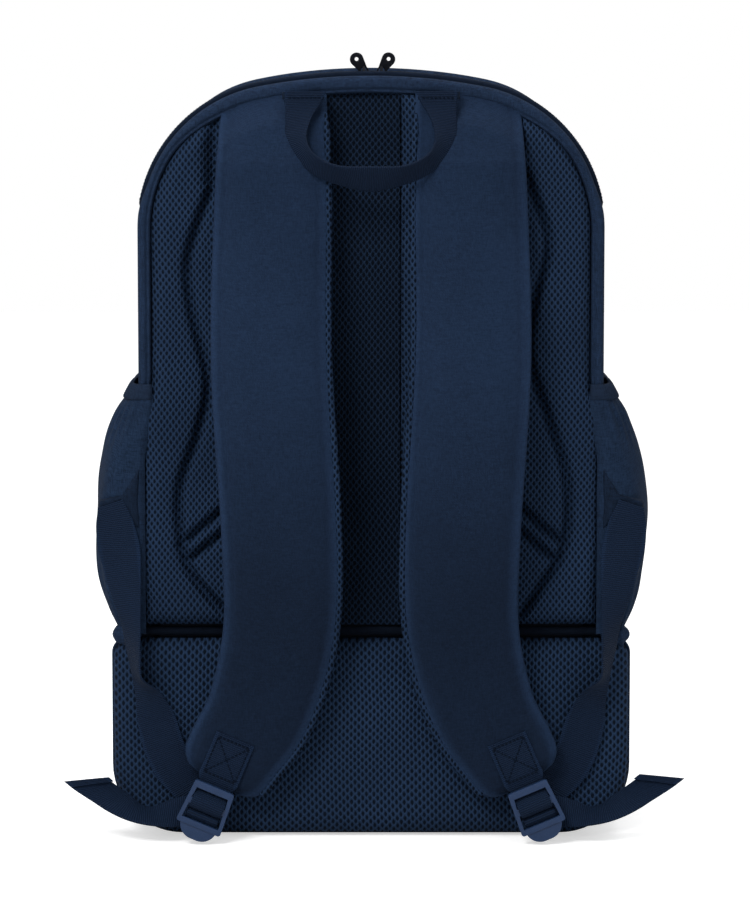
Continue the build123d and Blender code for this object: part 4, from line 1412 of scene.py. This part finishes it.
# ---------------------------------------------------------------- carried-over fittings
FITTING_FINISH = {
    "board": BOARD_PLASTIC, "zip_slider": SLIDER_PAINT,
    "zip_puller": PULLER_RUBBER, "lock_plastic": LOCK_PLASTIC,
}
FITTINGS = {
    "back_board": "board", "lumbar_board": "board", "shoe_floor_board": "board",
    "left_main_slider": "zip_slider", "right_main_slider": "zip_slider", "shoe_slider": "zip_slider",
    "front_pocket_slider": "zip_slider", "left_main_puller": "zip_puller", "right_main_puller": "zip_puller",
    "shoe_puller": "zip_puller", "front_pocket_puller": "zip_puller",
    "left_ladder_lock": "lock_plastic", "right_ladder_lock": "lock_plastic",
}


def narrow_hole(work, from_tip, reach, factor):
    """Draws the points round a puller's hole towards the hole's middle, on the puller's long axis."""
    at = np.array([v.co[:] for v in work.verts]) * [1, 0, 1]
    foot = at[np.linalg.norm(at - at[at[:, 2].argmax()], axis=1).argmax()]
    tip = at[np.linalg.norm(at - foot, axis=1).argmax()]
    middle = tip + unit(foot - tip) * from_tip * MM
    for vert, place_at in zip(work.verts, at):
        flat = place_at - middle
        if np.linalg.norm(flat) < reach * MM:
            vert.co = [c - f * (1 - factor) for c, f in zip(vert.co, flat)]


def refined(node, finish, body, bevel, shift=(0, 0, 0), ring=None):
    """A merged copy of a fitting with its edges rounded, moved a little where it beds into soft cloth."""
    mesh = bpy.data.objects[node].data.copy()
    work = bmesh.new()
    work.from_mesh(mesh)
    bmesh.ops.remove_doubles(work, verts=work.verts, dist=0.00001)
    bmesh.ops.dissolve_limit(work, angle_limit=0.02, verts=work.verts, edges=work.edges)
    if ring:
        narrow_hole(work, *ring)
    bmesh.ops.translate(work, verts=work.verts, vec=[c * MM for c in shift])
    bmesh.ops.recalc_face_normals(work, faces=work.faces)
    work.to_mesh(mesh)
    work.free()
    mesh.materials.clear()
    mesh.materials.append(finish)
    mesh.shade_smooth()
    piece = bpy.data.objects.new(node + "_finished", mesh)
    bpy.context.scene.collection.objects.link(piece)
    soften = piece.modifiers.new("soften", "BEVEL")
    soften.width = bevel * MM
    soften.segments = 3
    soften.limit_method = "ANGLE"
    soften.angle_limit = radians(28)
    soften.harden_normals = True
    return place(piece, body, [node])


for node, slot in FITTINGS.items():
    fitting = bpy.data.objects[node]
    fitting.data.materials.clear()
    fitting.data.materials.append(FITTING_FINISH[slot])
PULLER_DROP = -5.7
SLIDER_DROP = -3.6
PULLER_HOLE = (4.1, 2.6, 0.6)
for side, mirror in SIDES:
    refined(side + "_ladder_lock", LOCK_PLASTIC, side + "_lock", 0.7)
    along = -3.0 if mirror > 0 else 2.6
    puller, slider = side + "_main_puller", side + "_main_slider"
    refined(puller, PULLER_RUBBER, puller, 0.35, (along, 0, PULLER_DROP), PULLER_HOLE)
    refined(slider, SLIDER_PAINT, slider, 0.2, (along, 0, SLIDER_DROP))

# ---------------------------------------------------------------- floor, light and camera
FLOOR_GLOW = 0.55
SKY_LIGHT = 0.62
SKY_SEEN = 0.38
FLOOR_PAPER, paper_net, paper = new_finish("pale_floor", 0.7)
paper.inputs["Base Color"].default_value = (0.80, 0.80, 0.80, 1)
paper.inputs["Emission Color"].default_value = (1, 1, 1, 1)
lit = paper_net.node("ShaderNodeLightPath").outputs["Is Camera Ray"]
paper_net.feed(paper.inputs["Emission Strength"], paper_net.math("MULTIPLY", lit, FLOOR_GLOW))
floor_mesh = bpy.data.meshes.new("pale_floor")
FLOOR_HALF = 6
FLOOR_HEIGHT = -0.0005
FLOOR_SIGNS = ((-1, -1), (1, -1), (1, 1), (-1, 1))
floor_corners = [(x * FLOOR_HALF, y * FLOOR_HALF, FLOOR_HEIGHT) for x, y in FLOOR_SIGNS]
floor_mesh.from_pydata(floor_corners, [], [(0, 1, 2, 3)])
floor_mesh.materials.append(FLOOR_PAPER)
floor = bpy.data.objects.new("pale_floor", floor_mesh)
bpy.context.scene.collection.objects.link(floor)


def softbox(name, place_at, aim, size, power):
    """A square area light aimed at a point."""
    lamp = bpy.data.lights.new(name, "AREA")
    lamp.size = size
    lamp.energy = power
    lamp_object = bpy.data.objects.new(name, lamp)
    lamp_object.location = place_at
    lamp_object.rotation_euler = (Vector(aim) - Vector(place_at)).to_track_quat("-Z", "Y").to_euler()
    bpy.context.scene.collection.objects.link(lamp_object)


softbox("key_light", (-0.62, -1.25, 1.35), (0, 0, 0.33), 0.6, 21)
softbox("fill_light", (1.9, -1.7, 1.2), (0, 0, 0.25), 1.8, 4)
softbox("top_light", (0.1, 0.3, 2.2), (0, 0, 0.3), 1.4, 22)
world = bpy.data.worlds.new("studio")
world.use_nodes = True
sky = world.node_tree.nodes["Background"]
sky.inputs["Color"].default_value = (1, 1, 1, 1)
sky_net = Net(world.node_tree)
seen = sky_net.node("ShaderNodeLightPath").outputs["Is Camera Ray"]
sky_net.feed(sky.inputs["Strength"], sky_net.math("MULTIPLY_ADD", seen, SKY_SEEN, SKY_LIGHT))
bpy.context.scene.world = world
bpy.context.scene.view_settings.view_transform = "Standard"

CAMERA_AIM = np.array([0.0025, -0.088, 0.2478])
CAMERA_AWAY = 2.145
CAMERA_RISE = radians(5.5)
lens = bpy.data.cameras.new("camera")
lens.lens = 135
lens.sensor_fit = "VERTICAL"
lens.sensor_height = 36
camera = bpy.data.objects.new("camera", lens)
camera.location = CAMERA_AIM + CAMERA_AWAY * np.array([0, -cos(CAMERA_RISE), sin(CAMERA_RISE)])
camera.rotation_euler = (pi / 2 - CAMERA_RISE, 0, 0)
bpy.context.scene.collection.objects.link(camera)
bpy.context.scene.camera = camera
